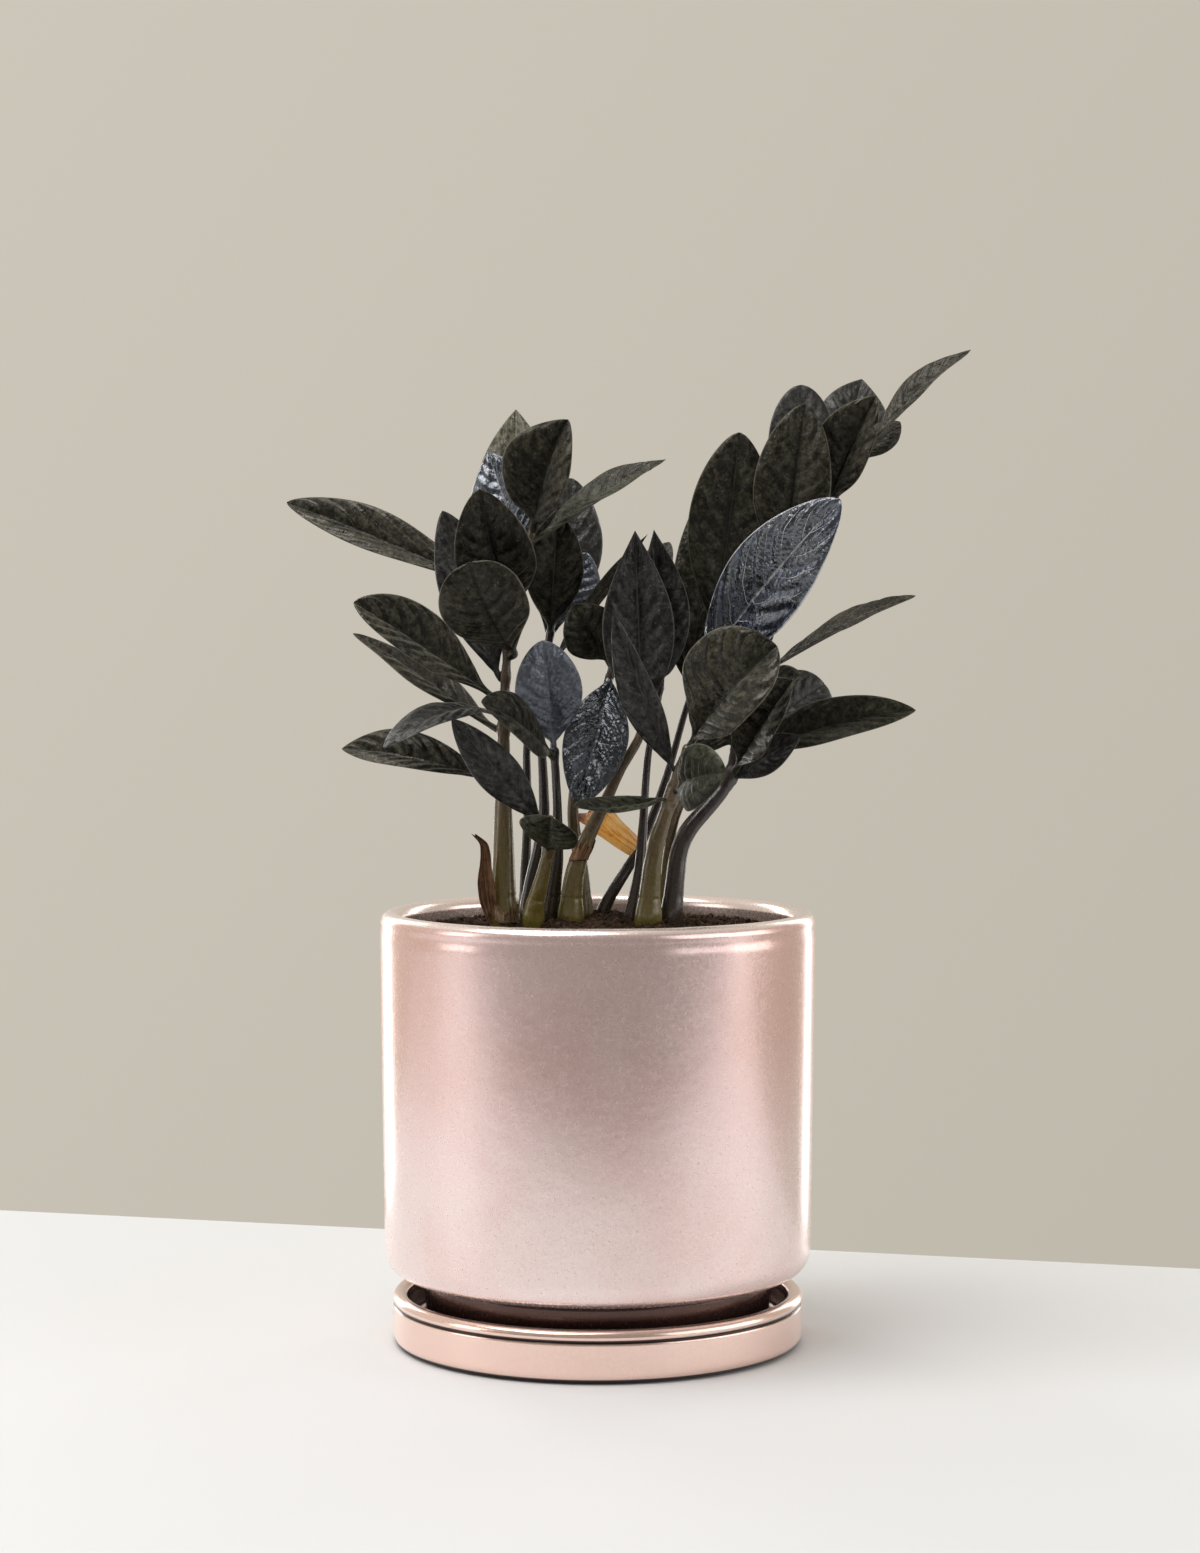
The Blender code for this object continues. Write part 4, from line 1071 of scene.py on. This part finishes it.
def fibres(name, count, seed, steps=7):
    """Thin bent strands lying on the soil: a four-sided tube along a short arc each."""
    rng = np.random.default_rng(seed)
    x, y = strewn(rng, count, 54.0)
    s = np.linspace(-0.5, 0.5, steps)
    long, heading, curl = (rng.uniform(low, high, (count, 1))
                           for low, high in ((3.0, 9.0), (0, 2 * math.pi), (-1.5, 1.5)))
    way = heading + curl * s
    x = x[:, None] + np.cumsum(np.cos(way), 1) * long / steps
    y = y[:, None] + np.cumsum(np.sin(way), 1) * long / steps
    keep = np.minimum(1.0, 56.0 / np.maximum(np.hypot(x, y), 1.0))
    x, y = x * keep, y * keep
    z = soil_level(x, y) + 0.35 + 0.9 * np.sin(3.0 * s + heading) ** 2
    thin = (rng.uniform(0.07, 0.16, count)[:, None] * (1.05 - 1.6 * s ** 2 * 1.2))[..., None, None]
    corner = np.array([0.0, 0.5, 1.0, 1.5]) * math.pi
    across = np.stack([-np.sin(way), np.cos(way), 0 * way], -1)[:, :, None] * np.cos(corner)[:, None]
    upward = np.array([0.0, 0.0, 1.0]) * np.sin(corner)[:, None]
    points = np.stack([x, y, z], -1)[:, :, None] + (across + upward) * thin
    index = np.arange(steps * 4).reshape(steps, 4)
    around = np.hstack([index, index[:, :1]])
    skin = np.stack([around[:-1, :-1], around[:-1, 1:], around[1:, 1:], around[1:, :-1]], -1).reshape(-1, 4)
    strand = np.vstack([skin, index[:1, ::-1], index[-1:]])
    faces = strand[None] + np.arange(count)[:, None, None] * steps * 4
    return mesh_of(name, points.reshape(-1, 3) * MM, faces.ravel(), np.full(count * len(strand), 4))


straw = soil_finish("fibre", (0.06, 0.035, 0.02), (0.15, 0.095, 0.055), (0.30, 0.21, 0.13))
piece(fibres("soil_fibres", 150, 9), straw, "soil")
print("crumbs and fibres laid")

# %% [markdown]
# ## Dried sheaths
#
# Every stalk starts in a papery sheath that later dries, splits and curls. Three are left on the
# frame: a curled one by the left stalk, a torn orange one in the middle, and a ring round a foot.
# A second ring, round the leaning stalk, is added. They are thin troughs, with a torn end where
# each column of the grid stops at its own length. Cloth could be torn to shape too, but a formula
# gives the same tear each time.

# %% Sheaths
def sheath_finish(name, dark, mid, pale, glow=0.0):
    """Dry papery skin: brown tones drawn out along the piece's own length. Light glows through it by glow."""
    material, tree, shader = finish(name, Roughness=0.7, Specular_IOR_Level=0.35, Subsurface_Weight=glow,
                                    Subsurface_Radius=(1.0, 0.5, 0.2), Subsurface_Scale=0.004)
    chart = add(tree, "UVMap", uv_map="shape").outputs["UV"]
    lines = add(tree, "Mapping", {"Vector": chart, "Scale": (16.0, 1.2, 1.0)}).outputs["Vector"]
    drawn = add(tree, "TexNoise", {"Vector": lines, "Scale": 1.6, "Detail": 5.0, "Roughness": 0.7})
    fibre = drawn.outputs["Fac"]
    tone = shared(tree, fibre, noise(tree, 260.0, 4.0), 0.7)
    colour = ramp(tree, tone, (0.40, dark), (0.5, mid), (0.60, pale))
    dress(tree, shader, colour, fibre, 0.0006, 0.7)
    return material


def sheath_grid(path, widths, side, curl, ragged, seed):
    """A closed thin trough along a path: its edges curl forwards by curl, and its end is torn by ragged.

    The path's points are joined by a smooth curve. Each column of the grid stops at its own length.
    """
    path, side = np.array(path, float), unit(np.array(side, float))
    over = np.linspace(-1.0, 1.0, 33)
    v = np.concatenate([over, over[::-1]])[None]
    face = np.repeat([1.0, -1.0], len(over))
    teeth = np.random.default_rng(seed).uniform(-1.0, 0.15, 12)
    teeth = np.interp(v, np.linspace(-1.0, 1.0, len(teeth)), teeth)
    t = np.linspace(0.0, 1.0, 60)[:, None]
    length = t * (1.0 + ragged * teeth * smoothstep(0.45, 1.0, t))
    knots = np.linspace(0.0, 1.0, len(path))
    fine = np.linspace(0.0, 1.0, 200)
    line = np.pad(followed(fine, knots, path), ((18, 18), (0, 0)), "reflect", reflect_type="odd")
    bell = np.hanning(39)[1:-1] / 19.0
    line = np.stack([np.convolve(line[:, k], bell, "valid") for k in range(3)], -1)
    spine = followed(length, fine, line)
    way = unit(followed(length, fine, unit(np.gradient(line, axis=0))))
    wide = np.interp(t, np.linspace(0.0, 1.0, len(widths)), widths) * (1.0 + 0.05 * np.sin(9.0 * t + seed))
    up = unit(np.cross(way, side))
    turn = curl * v * (1.0 + 0.5 * t)
    x = wide * np.sin(turn) / max(curl, 0.3)
    z = wide * (1.0 - np.cos(turn)) / max(curl, 0.3) + 0.13 * face + 0.14 * np.sin(15.0 * v + 4.0 * t)
    grid = spine + x[..., None] * side + z[..., None] * up
    return grid * MM, np.stack([0.5 + 0.5 * v + 0.0 * t, t + 0.0 * v], -1)


def collar_grid(middle, radius, low, high, start, sweep, seed):
    """A torn collar round a stalk: columns go up its outside and down its inside, rows go round.

    It stands off from the stalk by out, flares with the cube of the height and ripples a little. Its
    upper edge runs in straight lines between random heights at random angles.
    """
    rng = np.random.default_rng(seed)
    angle = np.radians(np.linspace(start, start + sweep, 60))[:, None]
    climb = np.concatenate([np.linspace(0.0, 1.0, 10), np.linspace(1.0, 0.0, 10)[1:-1]])[None]
    out = np.concatenate([np.full(10, 0.42), np.full(8, 0.12)])[None]
    out[0, [0, 9]] = 0.27
    cuts = np.sort(rng.uniform(start, start + sweep, 26))
    torn = np.interp(angle, np.radians(cuts), rng.uniform(0.5, 1.0, 26) ** 1.5)
    height = low + (high - low) * climb * torn
    centre = np.stack([np.interp(height, middle[:, 2], middle[:, k]) for k in range(2)], -1)
    thick = np.interp(height, middle[:, 2], radius)
    ripple = 0.12 * np.sin(7.0 * angle + 3.0 * climb) + 0.10 * np.sin(22.0 * climb + 2.0 * angle)
    reach = thick + out + 0.35 * climb ** 3 + ripple
    ring = reach[..., None] * np.stack([np.cos(angle), np.sin(angle)], -1)
    grid = np.concatenate([centre + ring, height[..., None]], -1)
    return grid * MM, np.stack([angle / 3.0 + 0.0 * climb, climb * 0.4 + 0.0 * angle], -1)


def husk(name, skin, material, *replaced):
    """A dried sheath from its grid and its map."""
    grid, chart = skin
    piece(surface(name, grid, round_columns=True, caps=True, uv=chart), material, "dried_husk", *replaced)


dry = sheath_finish("dry_sheath", (0.055, 0.026, 0.014), (0.24, 0.125, 0.066), (0.50, 0.30, 0.16))
# The torn orange sheath has bright tones that are partly painted light, for light shining through it.
orange_sheath_painted_light = sheath_finish("tan_sheath_painted_light", (0.42, 0.11, 0.06), (1.0, 0.37, 0.27), (1.0, 0.58, 0.52), 0.7)
pale = sheath_finish("pale_sheath", (0.09, 0.05, 0.028), (0.26, 0.17, 0.10), (0.50, 0.37, 0.24))
low, high = (np.array(corner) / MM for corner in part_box("husk_left"))
path = [(high[0] + 1.2, high[1] - 0.6, low[2] - 2.6), (low[0] + 4.6, low[1] + 1.6, low[2] + 4.5),
        (low[0] + 4.0, low[1] + 1.5, low[2] + 11.0), (low[0] + 4.2, low[1] + 1.3, low[2] + 17.0),
        (low[0] + 3.8, low[1] + 1.0, high[2] - 2.6), (low[0] + 0.6, low[1] + 0.6, high[2] + 0.4)]
widths = (2.4, 3.0, 2.9, 2.0, 1.7, 1.3, 0.6)
husk("sheath_left", sheath_grid(path, widths, (-1.0, -0.25, 0.0), 1.1, 0.08, 5), dry, "husk_left")
low, high = (np.array(corner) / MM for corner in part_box("husk_centre"))
path = [(high[0] - 0.8, high[1] - 1.0, low[2] + 1.2), (high[0] - 7.0, low[1] + 1.4, low[2] + 6.0),
        (low[0] + 4.0, low[1] + 1.2, high[2] - 3.0), (low[0] - 2.0, low[1] + 2.2, high[2] - 0.5)]
widths = (3.2, 4.0, 4.3, 4.0, 3.0)
husk("sheath_centre", sheath_grid(path, widths, (0.55, -0.25, 0.80), 0.8, 0.34, 8), orange_sheath_painted_light, "husk_centre")
husk("collar_left", collar_grid(*stalks["stem_left"], 125.5, 133.0, 150, 330, 11), pale, "husk_ring")
husk("collar_leaning", collar_grid(*stalks["stem_leaning"], 144.5, 151.5, 190, 250, 12), dry)
print("sheaths made")

# %% [markdown]
# ## Tuber
#
# The tuber that the stalks grow from sits in a hollow of the soil and can't be seen. A finer
# surface for it would never show, so its CAD shape stays, with a matt tan skin of its own.

# %% Tuber skin
tuber = soil_finish("tuber_skin", (0.20, 0.13, 0.07), (0.34, 0.24, 0.14), (0.48, 0.37, 0.24))
nodes["rhizome"].data.materials.clear()
nodes["rhizome"].data.materials.append(tuber)
print("tuber skin:", tuber.name)
